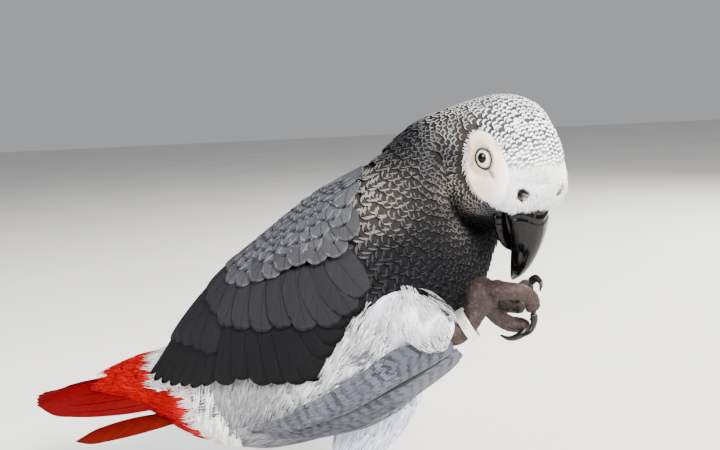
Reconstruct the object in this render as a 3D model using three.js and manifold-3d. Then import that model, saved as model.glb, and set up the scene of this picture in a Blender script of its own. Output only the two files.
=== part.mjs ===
// Grey parrot, life size, standing on its left foot with the right foot raised to the bill.
// Millimetres. The bird faces +X, its left side is +Y, +Z is up and the floor is z = 0.
// The origin is under the middle of the standing foot.
import * as THREE from "three";
import { ParametricGeometry } from "three/addons/geometries/ParametricGeometry.js";
import { mergeVertices } from "three/addons/utils/BufferGeometryUtils.js";
import Module from "manifold-3d";

const wasm = await Module();
wasm.setup();

// ---- Driving dimensions -------------------------------------------------------------------
const GAP = 0.35; // clearance between neighbouring pieces
const EYE_APART = 38; // from one eye's surface to the other's
const EYEBALL_R = 6;
const EYE_DEPTH = 4.6; // from the eye's surface to its centre
const HEAD_PITCH = 30; // degrees that the bill points down
const HEAD_YAW = 45; // degrees that the face is turned to the bird's right
const HEAD_CENTRE = new THREE.Vector3(88.4, -12.6, 190); // midway between the eyes
const RING_OUTER_R = 7.2;
const RING_WALL = 0.9;
const RING_WIDTH = 4.2;
const TAIL_FEATHERS = 10;
const SOLE_LEVEL = 0;

const COLOURS = {
  plumage: { color: 0x8f9195, roughness: 0.9 },
  pale: { color: 0xd9d8da, roughness: 0.9 },
  face: { color: 0xe9e4de, roughness: 0.8 },
  wing: { color: 0x5c5e62, roughness: 0.85 },
  tail: { color: 0xb3131c, roughness: 0.8 },
  tongue: { color: 0x4a3a3c, roughness: 0.6 },
  foot: { color: 0x6f6663, roughness: 0.75 },
  bill: { color: 0x17171a, roughness: 0.35 },
  claw: { color: 0x1b1b1d, roughness: 0.35 },
  eye: { color: 0xe8e2b8, roughness: 0.1 },
  ring: { color: 0xc9c6c2, roughness: 0.35, metalness: 0.9 },
};

// ---- Curves and surfaces ------------------------------------------------------------------
const radians = THREE.MathUtils.degToRad;

// Smooth values between rows: cubic pieces whose slope at a row is the weighted mean of the
// slopes on its two sides, so equal rows stay level.
function smoothRows(keys, rows, t) {
  const last = keys.length - 1;
  let i = 0;
  while (i < last - 1 && t >= keys[i + 1]) i++;
  const step = (k) => keys[k + 1] - keys[k];
  const x = Math.min(Math.max((t - keys[i]) / step(i), 0), 1);
  const rise = (k, c) => (rows[k + 1][c] - rows[k][c]) / step(k);
  const slope = (k, c) => {
    if (k === 0) return rise(0, c);
    if (k === last) return rise(last - 1, c);
    return (rise(k - 1, c) * step(k) + rise(k, c) * step(k - 1)) / (step(k - 1) + step(k));
  };
  return rows[i].map(
    (value, c) =>
      (2 * x ** 3 - 3 * x ** 2 + 1) * value +
      (x ** 3 - 2 * x ** 2 + x) * step(i) * slope(i, c) +
      (3 * x ** 2 - 2 * x ** 3) * rows[i + 1][c] +
      (x ** 3 - x ** 2) * step(i) * slope(i + 1, c),
  );
}

// Straight interpolation in a list of [key, value] pairs.
function between(pairs, t) {
  let i = 0;
  while (i < pairs.length - 2 && t > pairs[i + 1][0]) i++;
  const [[a, va], [b, vb]] = [pairs[i], pairs[i + 1]];
  return va + (vb - va) * Math.min(Math.max((t - a) / (b - a), 0), 1);
}

// A station is one slice of the body: its centre, the pitch and yaw of the way the bird's
// spine runs through it, and how far it reaches sideways, up and down from the centre.
class Loft {
  constructor(stations) {
    this.rows = stations.map((s) => [...s.at, s.pitch, s.yaw ?? 0, s.half, s.up, s.down]);
    this.keys = [0];
    for (let i = 1; i < stations.length; i++) {
      const gone = Math.hypot(...stations[i].at.map((v, k) => v - stations[i - 1].at[k]));
      this.keys.push(this.keys[i - 1] + gone);
    }
    this.keys = this.keys.map((k) => k / this.keys[this.keys.length - 1]);
  }

  // The point at u along the spine and angle v round it: 0 is left, 90 up, 180 right.
  point(u, v, grow = 0, target = new THREE.Vector3()) {
    const [x, y, z, pitch, yaw, half, up, down] = smoothRows(this.keys, this.rows, u);
    const [p, w, a] = [radians(pitch), radians(yaw), radians(v)];
    const along = new THREE.Vector3(
      Math.cos(p) * Math.cos(w),
      -Math.cos(p) * Math.sin(w),
      Math.sin(p),
    );
    const left = new THREE.Vector3(Math.sin(w), Math.cos(w), 0);
    const top = along.cross(left);
    const height = Math.sin(a) >= 0 ? up : down;
    const open = half > 0 || height > 0 ? 1 : 0;
    return target
      .set(x, y, z)
      .addScaledVector(left, open * (half + grow) * Math.cos(a))
      .addScaledVector(top, open * (height + grow) * Math.sin(a));
  }
}

// A manifold solid from a closed geometry. Points that coincide, such as a seam or a pole, are
// merged, faces that vanish with them are dropped, and the faces are turned to point outwards.
function solidOf(geometry) {
  geometry.deleteAttribute("normal");
  geometry.deleteAttribute("uv");
  const merged = mergeVertices(geometry, 1e-3);
  const index = Array.from(merged.index.array);
  const build = (turned) => {
    const faces = [];
    for (let i = 0; i < index.length; i += 3) {
      const [a, b, c] = index.slice(i, i + 3);
      if (a !== b && b !== c && c !== a) faces.push(...(turned ? [b, a, c] : [a, b, c]));
    }
    const vertProperties = new Float32Array(merged.attributes.position.array);
    return new wasm.Manifold(new wasm.Mesh({ numProp: 3, vertProperties, triVerts: new Uint32Array(faces) }));
  };
  const solid = build(false);
  return solid.volume() > 0 ? solid : build(true);
}

function closedSurface(fn, slices, stacks) {
  return solidOf(new ParametricGeometry(fn, slices, stacks));
}

// A solid swept along a smooth curve. Each stop is [x, y, z, half width, half height]; the width
// starts square to the given up direction and is carried along without twisting. Both ends are
// rounded over their own width.
function sweep(stops, { sides = 10, rings = 12, up = [0, 0, 1], grow = 0 } = {}) {
  const curve = new THREE.CatmullRomCurve3(stops.map((s) => new THREE.Vector3(...s)));
  const keys = stops.map((_, i) => i / (stops.length - 1));
  const sizes = stops.map((s) => [s[3], s[4]]);
  const total = curve.getLength();
  const shares = Array.from({ length: rings + 1 }, (_, i) => (1 - Math.cos((Math.PI * i) / rings)) / 2);
  const sidesAlong = [];
  let side = new THREE.Vector3(...up).cross(curve.getTangentAt(0)).normalize();
  for (const share of shares) {
    const tangent = curve.getTangentAt(share);
    side = side.clone().addScaledVector(tangent, -side.dot(tangent)).normalize();
    sidesAlong.push(side);
  }
  return closedSurface(
    (u, v, target) => {
      const ring = Math.round(v * rings);
      const share = shares[ring];
      const [wide, high] = smoothRows(keys, sizes, curve.getUtoTmapping(share));
      const tangent = curve.getTangentAt(share);
      const across = sidesAlong[ring];
      const top = tangent.clone().cross(across);
      const toEnd = Math.min(share, 1 - share) * total;
      const rounding = Math.sqrt(1 - (1 - Math.min(toEnd / (0.8 * high), 1)) ** 2);
      const end = ring === 0 || ring === rings ? 0 : rounding;
      const stretch = (ring === 0 ? -grow : 0) + (ring === rings ? grow : 0);
      const angle = u * 2 * Math.PI;
      target
        .copy(curve.getPointAt(share))
        .addScaledVector(tangent, 1.5 * stretch)
        .addScaledVector(across, (end * wide + (end ? grow : 0)) * Math.cos(angle))
        .addScaledVector(top, (end * high + (end ? grow : 0)) * Math.sin(angle));
    },
    sides,
    rings,
  );
}

function sphere(centre, radius) {
  const geometry = new THREE.SphereGeometry(radius, 14, 9);
  geometry.translate(centre.x, centre.y, centre.z);
  return solidOf(geometry);
}

// ---- Head frame ---------------------------------------------------------------------------
const head = (() => {
  const [p, w] = [radians(HEAD_PITCH), radians(HEAD_YAW)];
  const forward = new THREE.Vector3(
    Math.cos(p) * Math.cos(w),
    -Math.cos(p) * Math.sin(w),
    -Math.sin(p),
  );
  const left = new THREE.Vector3(Math.sin(w), Math.cos(w), 0);
  const up = forward.clone().cross(left);
  return { forward, left, up };
})();

// A point given by its distances ahead of, left of and above the middle between the eyes.
function onHead(ahead, aside, above) {
  return HEAD_CENTRE.clone()
    .addScaledVector(head.forward, ahead)
    .addScaledVector(head.left, aside)
    .addScaledVector(head.up, above);
}

// ---- Head, neck and trunk -----------------------------------------------------------------
// Head slices: distance ahead of the eyes, the profile's top and bottom, and the half width.
const headSlices = [
  { ahead: -10, top: 19.5, bottom: -35, half: 28, pitch: -17, yaw: 42 },
  { ahead: 0, top: 17.5, bottom: -29.5, half: 25, pitch: -27 },
  { ahead: 8, top: 13, bottom: -24.5, half: 23 },
  { ahead: 15, top: 6, bottom: -19.5, half: 18.6 },
  { ahead: 19.5, top: -1, bottom: -15.8, half: 12.5 },
  { ahead: 21.5, top: -5.5, bottom: -12, half: 6 },
  { ahead: 22.2, top: -9, bottom: -9, half: 0 },
];

const bodyLoft = new Loft([
  { at: [-106, 0, 69], pitch: 14, half: 0, up: 0, down: 0 },
  { at: [-100, 0, 72], pitch: 15, half: 10, up: 9, down: 11 },
  { at: [-84, 0, 77], pitch: 18, half: 20, up: 18, down: 27 },
  { at: [-62, 0, 86], pitch: 24, half: 32, up: 32, down: 43 },
  { at: [-35, 0, 99], pitch: 30, half: 41, up: 42, down: 51 },
  { at: [-8, 0, 117], pitch: 36, half: 44, up: 43, down: 60 },
  { at: [18, 0, 138], pitch: 38, half: 42, up: 42, down: 54 },
  { at: [40, 0, 160], pitch: 36, yaw: 2, half: 36, up: 34, down: 46 },
  { at: [57, 2, 178], pitch: 24, yaw: 12, half: 31, up: 31, down: 40 },
  { at: [71, 1, 191], pitch: 4, yaw: 30, half: 29, up: 22.5, down: 37 },
  ...headSlices.map((s) => ({
    at: onHead(s.ahead, 0, (s.top + s.bottom) / 2).toArray(),
    pitch: s.pitch ?? -HEAD_PITCH,
    yaw: s.yaw ?? HEAD_YAW,
    half: s.half,
    up: (s.top - s.bottom) / 2,
    down: (s.top - s.bottom) / 2,
  })),
]);

// The bare face round each eye lies a little deeper than the feathers round it.
const FACE_SINK = 4.2;
const FACE_REACH = 15;
function sinkFace(point) {
  const away = point.clone().sub(HEAD_CENTRE);
  const aside = away.dot(head.left);
  const far = Math.hypot(away.dot(head.forward) - 1, (away.dot(head.up) + 2) * 0.9) / FACE_REACH;
  const side = THREE.MathUtils.clamp((Math.abs(aside) - 10) / 8, 0, 1);
  point.addScaledVector(head.left, -Math.sign(aside) * FACE_SINK * Math.exp(-(far ** 4)) * side);
}

function bodySolid(grow = 0) {
  return closedSurface(
    (u, v, target) => {
      // rings crowd together towards the face
      bodyLoft.point(1 - (1 - v) ** 1.4, u * 360, grow, target);
      sinkFace(target);
    },
    22,
    36,
  );
}

// The piece of a solid that lies ahead of a slanting plane, or behind it.
function side(solid, point, pitch, yaw, ahead) {
  const size = 400;
  const box = new THREE.BoxGeometry(size, size, size);
  box.translate((ahead ? 1 : -1) * (size / 2 + GAP / 2), 0, 0);
  box.rotateY(-radians(pitch));
  box.rotateZ(-radians(yaw));
  box.translate(...point);
  return solid.intersect(solidOf(box));
}

// ---- Wings --------------------------------------------------------------------------------
// The outer face of a folded wing, as slices of the whole back with both wings on it.
const wingLoft = new Loft([
  { at: [40, 0, 160], pitch: 36, half: 38.5, up: 36.5, down: 50 },
  { at: [28, 0, 148], pitch: 37, half: 44, up: 41.5, down: 55 },
  { at: [18, 0, 138], pitch: 38, half: 47, up: 45, down: 60 },
  { at: [-8, 0, 117], pitch: 36, half: 49.5, up: 47, down: 66 },
  { at: [-35, 0, 99], pitch: 32, half: 47, up: 46, down: 56 },
  { at: [-62, 0, 86], pitch: 30, half: 40, up: 36, down: 46 },
  { at: [-84, 0, 77], pitch: 30, half: 31, up: 24, down: 32 },
  { at: [-100, 0, 69], pitch: 30, half: 24, up: 19, down: 24 },
  { at: [-114, 0, 62], pitch: 30, half: 20, up: 14, down: 20 },
]);
// How far down the side the wing reaches, in degrees from the middle of the back, at shares of
// its length from shoulder to tip: the secondaries make one lobe and the primaries the other.
const wingLowerEdge = [
  [0.02, 62],
  [0.08, 90],
  [0.14, 102],
  [0.22, 101],
  [0.3, 104],
  [0.39, 108],
  [0.46, 103],
  [0.53, 91],
  [0.62, 88],
  [0.7, 84],
  [0.78, 72],
  [0.84, 50],
];
const wingUpperEdge = [
  [0.02, 34],
  [0.12, 16],
  [0.25, 8],
  [0.5, 4],
  [0.84, 3],
];
const WING_FROM = 0.02;
const WING_TO = 0.84;
const WING_EDGE = 1.2;
const WING_THICK = 5.4;

function wingSolid(hand, grow = 0) {
  return closedSurface(
    (round, along, target) => {
      // round runs down the outer face and back up the inner one
      const outer = round <= 0.5;
      const u = WING_FROM + (WING_TO - WING_FROM) * along;
      const down = outer ? round * 2 : 2 - round * 2;
      const spare = grow * 1.3;
      const top = between(wingUpperEdge, u) - spare;
      const theta = top + (between(wingLowerEdge, u) + spare - top) * down;
      const rim = Math.sin(Math.PI * down);
      const tip = Math.min(1, along * 8, (1 - along) * 10);
      const bulk = WING_EDGE + (WING_THICK - WING_EDGE) * Math.min(1, (1 - along) * 1.8) * Math.sqrt(rim);
      const thick = rim < 0.01 ? 0 : bulk * tip;
      wingLoft.point(u, 90 + theta, outer ? grow : -thick - (thick ? grow : -grow), target);
      if (hand > 0) target.y = -target.y;
    },
    16,
    17,
  );
}

// ---- Tail ---------------------------------------------------------------------------------
const TAIL_LENGTH = 98;
const TAIL_ROOT = new THREE.Vector3(-86, 0, 75.5);

// One tail feather, counted from the middle pair outwards: a thin blade that bends down a
// little. The outermost right one has slipped out of the fan and hangs lower.
function tailFeather(hand, rank) {
  const loose = hand < 0 && rank === TAIL_FEATHERS / 2 - 1;
  const yaw = radians(hand * (loose ? 17 : 1.3 + 2.9 * rank));
  const pitch = radians(loose ? 15 : 6 + 0.7 * rank);
  const way = new THREE.Vector3(-Math.cos(yaw) * Math.cos(pitch), Math.sin(yaw), -Math.sin(pitch));
  const length = loose ? 66 : TAIL_LENGTH - 2.2 * rank;
  const start = TAIL_ROOT.clone().add(new THREE.Vector3(0, hand * (1.5 + 2.2 * rank), -0.9 * rank));
  const stops = [
    [0, 3, 1.6],
    [0.3, 6.5, 1.5],
    [0.7, 8.4, 1.1],
    [0.93, 7, 0.8],
    [1, 3, 0.5],
  ].map(([share, wide, thick]) => {
    const at = start.clone().addScaledVector(way, length * share);
    at.z -= 4 * share ** 2;
    return [...at, wide, thick];
  });
  return sweep(stops, { sides: 6, rings: 7 });
}

function tailSolid() {
  const coverts = [
    [-66, 0, 66, 12, 10],
    [-84, 0, 67.5, 22, 16],
    [-104, 0, 70, 20, 11],
    [-124, 0, 70, 16, 6],
    [-140, 0, 69, 10, 3],
  ];
  let tail = sweep(coverts, { sides: 14, rings: 9 });
  for (let rank = 0; rank < TAIL_FEATHERS / 2; rank++)
    for (const hand of [-1, 1]) tail = tail.add(tailFeather(hand, rank));
  return tail;
}

// ---- Legs ---------------------------------------------------------------------------------
// Toes run from the pad to the root of the claw; claws run from root to point.
const TOE_R = 3.6;
const CLAW_R = 1.9;

const raisedLeg = {
  thigh: [
    [-52, -12, 78, 9, 10],
    [-22, -19, 86, 19, 24],
    [8, -24, 98, 20, 25],
    [28, -30, 111, 17, 21],
    [44, -37.5, 124, 13.5, 16],
    [55, -40, 122.5, 11, 10.5],
    [63, -37.5, 121, 7.5, 7.5],
  ],
  shank: [
    [57, -38.5, 121, 5, 5],
    [62.5, -36.8, 118.8, 5.3, 5.3],
    [67.4, -33.3, 121.2, 4.5, 4.5],
    [71.2, -30, 127, 4.8, 4.8],
    [75, -27, 133.5, 7.8, 6.6],
    [79.5, -24.5, 135, 6, 5],
  ],
  toes: [
    [
      [76, -28, 136],
      [82, -32.5, 136],
      [89.5, -31.5, 135.5],
      [93.5, -27, 131.5],
      [94, -24.5, 126],
    ],
    [
      [77, -23, 135],
      [83, -17, 132.5],
      [88.5, -17.5, 132.5],
      [92.5, -20.5, 136.5],
    ],
    [
      [75.5, -26, 129],
      [79.5, -23.5, 122.5],
      [84.5, -20, 118.5],
      [89, -20, 118],
      [91, -22.5, 117.5],
    ],
    [
      [77, -22, 130],
      [81, -16.5, 126],
      [85.5, -13.5, 125],
      [90, -15, 124.5],
    ],
  ],
  claws: [
    [
      [94.2, -24.2, 125],
      [94.3, -24.5, 121],
      [92.6, -25.5, 117],
      [89.5, -27, 115.2],
    ],
    [
      [92.8, -20.8, 137],
      [95.4, -22.8, 139.2],
      [97.4, -25.6, 138],
      [97.2, -27.3, 134.8],
    ],
    [
      [91, -23, 117.2],
      [88.5, -24.9, 115.2],
      [84, -25.6, 113.8],
      [80.3, -25.6, 115.2],
    ],
    [
      [90.6, -15.4, 124.4],
      [93.2, -17.4, 124.2],
      [93.8, -20, 122.6],
      [92.4, -21.8, 120.8],
    ],
  ],
};

const standingLeg = {
  thigh: [
    [6, 14, 104, 10, 10],
    [14, 17, 88, 20, 22],
    [12, 15, 68, 18, 21],
    [5, 10, 50, 12.5, 14],
    [-1, 7, 40, 8, 9],
    [-4, 6, 35, 5.5, 5.5],
  ],
  shank: [
    [-3, 6.5, 41, 4.5, 4.5],
    [-5, 6, 33, 5.4, 5.6],
    [-4, 4.5, 24, 4.9, 4.9],
    [-2, 2, 14, 5.4, 5.4],
    [0, 0, 6, 7.6, 7.6],
    [0.5, 0, -5, 6.5, 7],
  ],
  toes: [
    [
      [4, 2, 3.8],
      [14, 5, 3.2],
      [24, 8.5, 3],
      [33, 11, 2.7],
    ],
    [
      [4, -3, 3.8],
      [10, -8, 3.2],
      [16, -12.5, 3],
      [21, -16, 2.7],
    ],
    [
      [-4, 3, 3.8],
      [-13, 8.5, 3.2],
      [-22, 13, 3],
      [-30, 16.5, 2.7],
    ],
    [
      [-3, -4, 3.8],
      [-8, -8.5, 3.2],
      [-12, -12.5, 3],
      [-15.5, -15.5, 2.7],
    ],
  ],
};

function toe(points, grow = 0) {
  const last = points.length - 1;
  const bump = [1.15, 1, 0.96, 0.9, 0.86];
  const stops = points.map((p, i) => [...p, TOE_R * bump[i], TOE_R * bump[i] * (i === last ? 0.9 : 1)]);
  return sweep(stops, { sides: 8, rings: 7, grow });
}

function claw(points, grow = 0) {
  const taper = [1, 0.85, 0.55, 0.22];
  const stops = points.map((p, i) => [...p, CLAW_R * taper[i] * 0.85, CLAW_R * taper[i]]);
  return sweep(stops, { sides: 6, rings: 6, grow });
}

// A claw that carries on from a toe lying on the floor and curves down to touch it.
function floorClaw(points) {
  const end = new THREE.Vector3(...points[points.length - 1]);
  const way = end.clone().sub(new THREE.Vector3(...points[points.length - 2])).setZ(0).normalize();
  return [
    [-1, 3.2],
    [3.5, 4.2],
    [8.5, 3.2],
    [11.5, 0.7],
  ].map(([ahead, height]) => [end.x + way.x * ahead, end.y + way.y * ahead, height]);
}

// Flattens what stands on the floor into small level soles.
function onFloor(solid) {
  const size = 300;
  const box = new THREE.BoxGeometry(size, size, size);
  box.translate(0, 0, size / 2 + SOLE_LEVEL);
  return solid.intersect(solidOf(box));
}

// ---- Leg ring -----------------------------------------------------------------------------
const RING_AT = new THREE.Vector3(67.6, -33.1, 121.5);
const RING_AXIS = new THREE.Vector3(0.85, 0.18, 0.52).normalize();

function ringSolid() {
  const a = new THREE.Vector3(0, 1, 0).cross(RING_AXIS).normalize();
  const b = RING_AXIS.clone().cross(a);
  const half = RING_WIDTH / 2;
  const inner = RING_OUTER_R - RING_WALL;
  const profile = [
    [inner, -half],
    [RING_OUTER_R, -half],
    [RING_OUTER_R, half],
    [inner, half],
  ];
  return closedSurface(
    (u, v, target) => {
      const [radius, along] = profile[Math.round(v * 4) % 4];
      const angle = u * 2 * Math.PI;
      target
        .copy(RING_AT)
        .addScaledVector(RING_AXIS, along)
        .addScaledVector(a, radius * Math.cos(angle))
        .addScaledVector(b, radius * Math.sin(angle));
    },
    24,
    4,
  );
}

// ---- Bill, tongue and eyes ----------------------------------------------------------------
// Slices of a horny sheath from inside the face to its point. Each gives the outer ridge and
// the inner edge, as distances ahead of and above the middle between the eyes, and half width.
const upperBill = [
  { ridge: [12, -4], edge: [4, -19], half: 8 },
  { ridge: [20, -10.5], edge: [8, -21], half: 10 },
  { ridge: [23.6, -15.5], edge: [11.5, -22.5], half: 9.8 },
  { ridge: [26, -20.8], edge: [14, -24.5], half: 8.9 },
  { ridge: [27.4, -26.5], edge: [16.2, -28.5], half: 7.8 },
  { ridge: [27.8, -33], edge: [18, -33.5], half: 6.5 },
  { ridge: [27.2, -39.5], edge: [19.4, -39], half: 5 },
  { ridge: [25.6, -45], edge: [20.4, -43.8], half: 3.3 },
  { ridge: [23.4, -49], edge: [20.8, -47.4], half: 1.6 },
  { ridge: [21.8, -50.6], edge: [21.4, -50], half: 0.3 },
];
const lowerBill = [
  { ridge: [6, -18], edge: [1, -22], half: 6.5 },
  { ridge: [9.6, -24.4], edge: [4, -28], half: 7.6 },
  { ridge: [12, -29], edge: [8, -33.2], half: 7.2 },
  { ridge: [14.6, -33.4], edge: [11.6, -36.8], half: 5.8 },
  { ridge: [16.2, -36], edge: [14.6, -38.4], half: 3.8 },
  { ridge: [16.8, -38], edge: [16.3, -39], half: 1 },
];
const TONGUE = [
  [6, 0, -21, 3.4, 3],
  [10.5, 0, -25, 4, 3],
  [14, 0, -29, 3.6, 2.6],
  [16, 0, -31.5, 2.6, 2],
];

function sheath(slices, grow = 0) {
  const rows = slices.map((s) => [...s.ridge, ...s.edge, s.half]);
  const keys = rows.map((_, i) => i / (rows.length - 1));
  return closedSurface(
    (u, v, target) => {
      const [ra, rh, ea, eh, half] = smoothRows(keys, rows, v);
      const angle = u * 2 * Math.PI;
      const deep = Math.hypot(ra - ea, rh - eh) / 2;
      const closed = v < 1e-6 || v > 1 - 1e-6;
      const reach = closed ? 0 : Math.sin(angle) * (1 + grow / Math.max(deep, 0.5));
      const wide = closed ? 0 : (half + grow) * Math.cos(angle) * (1 - 0.12 * Math.sin(angle));
      const back = v < 1e-6 ? -grow * 1.5 : 0;
      const ahead = (ra + ea) / 2 + (reach * (ra - ea)) / 2 + back;
      const above = (rh + eh) / 2 + (reach * (rh - eh)) / 2 - back;
      target.copy(onHead(ahead, wide, above));
    },
    12,
    12,
  );
}

function tongueSolid(grow = 0) {
  const stops = TONGUE.map(([ahead, aside, above, wide, high]) => [...onHead(ahead, aside, above), wide, high]);
  return sweep(stops, { sides: 8, rings: 6, up: head.up.toArray(), grow });
}

function eyeAt(hand) {
  return onHead(0, hand * (EYE_APART / 2 - EYE_DEPTH), 0);
}

// ---- Assembly -----------------------------------------------------------------------------
const solids = new Map();
const body = bodySolid();
const bodyRoom = bodySolid(GAP);
const wingLeft = wingSolid(1);
const wingRight = wingSolid(-1);
const wingRoom = wingSolid(1, GAP).add(wingSolid(-1, GAP));

const mouth = sheath(upperBill, GAP).add(sheath(lowerBill, GAP)).add(tongueSolid(GAP));
const sockets = sphere(eyeAt(1), EYEBALL_R + GAP).add(sphere(eyeAt(-1), EYEBALL_R + GAP));
const NECK_CUT = [[62, 2, 183], 22, 14];
const BREAST_CUT = [[38, 0, 158], 37, 0];
const headAndNeck = side(body, ...BREAST_CUT, true);
solids.set("head", [side(headAndNeck, ...NECK_CUT, true).subtract(mouth).subtract(sockets), "plumage"]);
solids.set("neck", [side(headAndNeck, ...NECK_CUT, false).subtract(mouth), "plumage"]);
solids.set("trunk", [side(body, ...BREAST_CUT, false), "plumage"]);
solids.set("eye_left", [sphere(eyeAt(1), EYEBALL_R), "eye"]);
solids.set("eye_right", [sphere(eyeAt(-1), EYEBALL_R), "eye"]);
solids.set("bill_upper", [sheath(upperBill), "bill"]);
solids.set("bill_lower", [sheath(lowerBill).subtract(sheath(upperBill, GAP)), "bill"]);
const mandibles = sheath(upperBill, GAP).add(sheath(lowerBill, GAP));
solids.set("tongue", [tongueSolid().subtract(mandibles), "tongue"]);
solids.set("wing_left", [wingLeft.subtract(bodyRoom), "wing"]);
solids.set("wing_right", [wingRight.subtract(bodyRoom), "wing"]);
solids.set("tail", [tailSolid().subtract(bodyRoom).subtract(wingRoom), "tail"]);

for (const [hand, leg] of [
  ["right", raisedLeg],
  ["left", standingLeg],
]) {
  const standing = hand === "left";
  const up = standing ? [1, 0, 0] : [0, 0, 1];
  const shank = sweep(leg.shank, { sides: 9, rings: 10, up: [1, 0, 0] });
  const shankRoom = sweep(leg.shank, { sides: 9, rings: 10, up: [1, 0, 0], grow: 2 * GAP });
  const thigh = sweep(leg.thigh, { sides: 12, rings: 10, up });
  const thighCut = thigh.subtract(bodyRoom).subtract(wingRoom).subtract(shankRoom);
  solids.set(`thigh_${hand}`, [thighCut, "pale"]);
  solids.set(`shank_${hand}`, [standing ? onFloor(shank) : shank, "foot"]);
  let taken = shankRoom.add(shank);
  leg.toes.forEach((points, i) => {
    const clawPoints = standing ? floorClaw(points) : leg.claws[i];
    const toeSolid = toe(points).subtract(taken).subtract(claw(clawPoints, GAP));
    taken = taken.add(toe(points, GAP));
    solids.set(`toe_${hand}_${i + 1}`, [standing ? onFloor(toeSolid) : toeSolid, "foot"]);
    solids.set(`claw_${hand}_${i + 1}`, [standing ? onFloor(claw(clawPoints)) : claw(clawPoints), "claw"]);
  });
}
solids.set("leg_ring", [ringSolid(), "ring"]);

const parrot = new THREE.Group();
parrot.name = "grey_parrot";
for (const [name, [solid, finish]] of solids) {
  const pieces = solid.decompose().sort((a, b) => b.volume() - a.volume());
  const mesh = pieces[0].getMesh();
  const geometry = new THREE.BufferGeometry();
  geometry.setAttribute("position", new THREE.BufferAttribute(new Float32Array(mesh.vertProperties), 3));
  geometry.setIndex(new THREE.BufferAttribute(new Uint32Array(mesh.triVerts), 1));
  geometry.computeVertexNormals();
  const node = new THREE.Mesh(geometry, new THREE.MeshStandardMaterial({ metalness: 0, ...COLOURS[finish] }));
  node.name = name;
  node.material.name = finish;
  parrot.add(node);
}

export default parrot;
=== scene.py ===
"""Grey parrot, life size, on its left foot with the right foot raised to the bill.

One skin carries the bare face and the scaly legs, and lies under the coat. Over it lie the
contour feathers of head and body, the soft plumes of flank and thigh, the folded wings and the
red tail. Eyes, bill, tongue, claws and the leg ring are pieces of their own.

Lengths in the classes are millimetres in the part's frame: X forward, Y left, Z up, the floor at
z = 0 and the origin under the standing foot. Meshes are made in metres.
"""

import logging
from dataclasses import dataclass, field
from enum import Enum
from functools import cached_property
from typing import Callable, Optional

import bpy  # noqa: E402
import numpy as np  # noqa: E402
from mathutils import Matrix  # noqa: E402


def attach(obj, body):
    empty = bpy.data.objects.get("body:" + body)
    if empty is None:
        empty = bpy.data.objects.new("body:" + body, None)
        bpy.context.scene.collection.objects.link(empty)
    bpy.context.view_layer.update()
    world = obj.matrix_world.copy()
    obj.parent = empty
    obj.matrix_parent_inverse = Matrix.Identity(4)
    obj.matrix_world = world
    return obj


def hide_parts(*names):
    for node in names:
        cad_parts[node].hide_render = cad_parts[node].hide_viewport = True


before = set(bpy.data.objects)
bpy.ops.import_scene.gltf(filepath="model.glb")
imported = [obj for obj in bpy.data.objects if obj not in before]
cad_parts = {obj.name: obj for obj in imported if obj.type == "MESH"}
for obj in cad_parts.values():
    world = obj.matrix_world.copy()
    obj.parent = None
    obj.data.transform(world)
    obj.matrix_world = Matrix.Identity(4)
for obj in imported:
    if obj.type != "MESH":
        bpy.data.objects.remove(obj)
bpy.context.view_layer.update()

log = logging.getLogger("grey_parrot")

MM = 0.001
SEED = 20
Array = np.ndarray
Row = tuple[float, ...]


# ---- Small maths --------------------------------------------------------------------------
def linear(colour: str) -> Array:
    """Turn an sRGB hex colour into linear light.

    Args:
        colour: Six hex digits after a hash.

    Returns:
        Three linear values.
    """
    value = np.array([int(colour[i : i + 2], 16) for i in (1, 3, 5)]) / 255.0
    return np.where(value <= 0.04045, value / 12.92, ((value + 0.055) / 1.055) ** 2.4)


def smoothstep(low: float, high: float, value: Array) -> Array:
    """Rise smoothly from 0 at low to 1 at high: 3x^2 - 2x^3 of the clamped share.

    Args:
        low: Where the rise begins.
        high: Where it ends; it may be less than low.
        value: The values to judge.

    Returns:
        Shares from 0 to 1.
    """
    x = np.clip((np.asarray(value, float) - low) / (high - low), 0.0, 1.0)
    return x * x * (3.0 - 2.0 * x)


def hump(value: Array, middle: float, width: float) -> Array:
    """A bell of height 1: exp of minus the squared distance from the middle over the width."""
    return np.exp(-(((value - middle) / width) ** 2))


def unit(vectors: Array) -> Array:
    """Each vector over its own length."""
    return vectors / np.maximum(np.linalg.norm(vectors, axis=-1, keepdims=True), 1e-9)


def smooth_rows(keys: Array, rows: Array, at: Array) -> Array:
    """Smooth values between rows.

    Cubic pieces whose slope at a row is the weighted mean of the slopes on its two sides.

    Args:
        keys: Rising key of each row.
        rows: One row of values for each key.
        at: Keys to work out, of any shape.

    Returns:
        Values with one more axis than at.
    """
    at = np.asarray(at, float)
    step = np.diff(keys)
    rise = np.diff(rows, axis=0) / step[:, None]
    slope = np.empty_like(rows, dtype=float)
    slope[0], slope[-1] = rise[0], rise[-1]
    both = (step[:-1] + step[1:])[:, None]
    slope[1:-1] = (rise[:-1] * step[1:, None] + rise[1:] * step[:-1, None]) / both
    i = np.clip(np.searchsorted(keys, at, side="right") - 1, 0, len(keys) - 2)
    x = np.clip((at - keys[i]) / step[i], 0.0, 1.0)[..., None]
    span = step[i][..., None]
    return (
        (2 * x**3 - 3 * x**2 + 1) * rows[i]
        + (x**3 - 2 * x**2 + x) * span * slope[i]
        + (3 * x**2 - 2 * x**3) * rows[i + 1]
        + (x**3 - x**2) * span * slope[i + 1]
    )


def table(rows: tuple[Row, ...], at: Array) -> Array:
    """Smooth values from a table whose first column is the key.

    Args:
        rows: Rows of (key, value, ...).
        at: Keys to work out.

    Returns:
        Values, without the last axis where there is one column.
    """
    data = np.array(rows, float)
    out = smooth_rows(data[:, 0], data[:, 1:], np.clip(at, data[0, 0], data[-1, 0]))
    return out[..., 0] if data.shape[1] == 2 else out


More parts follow.
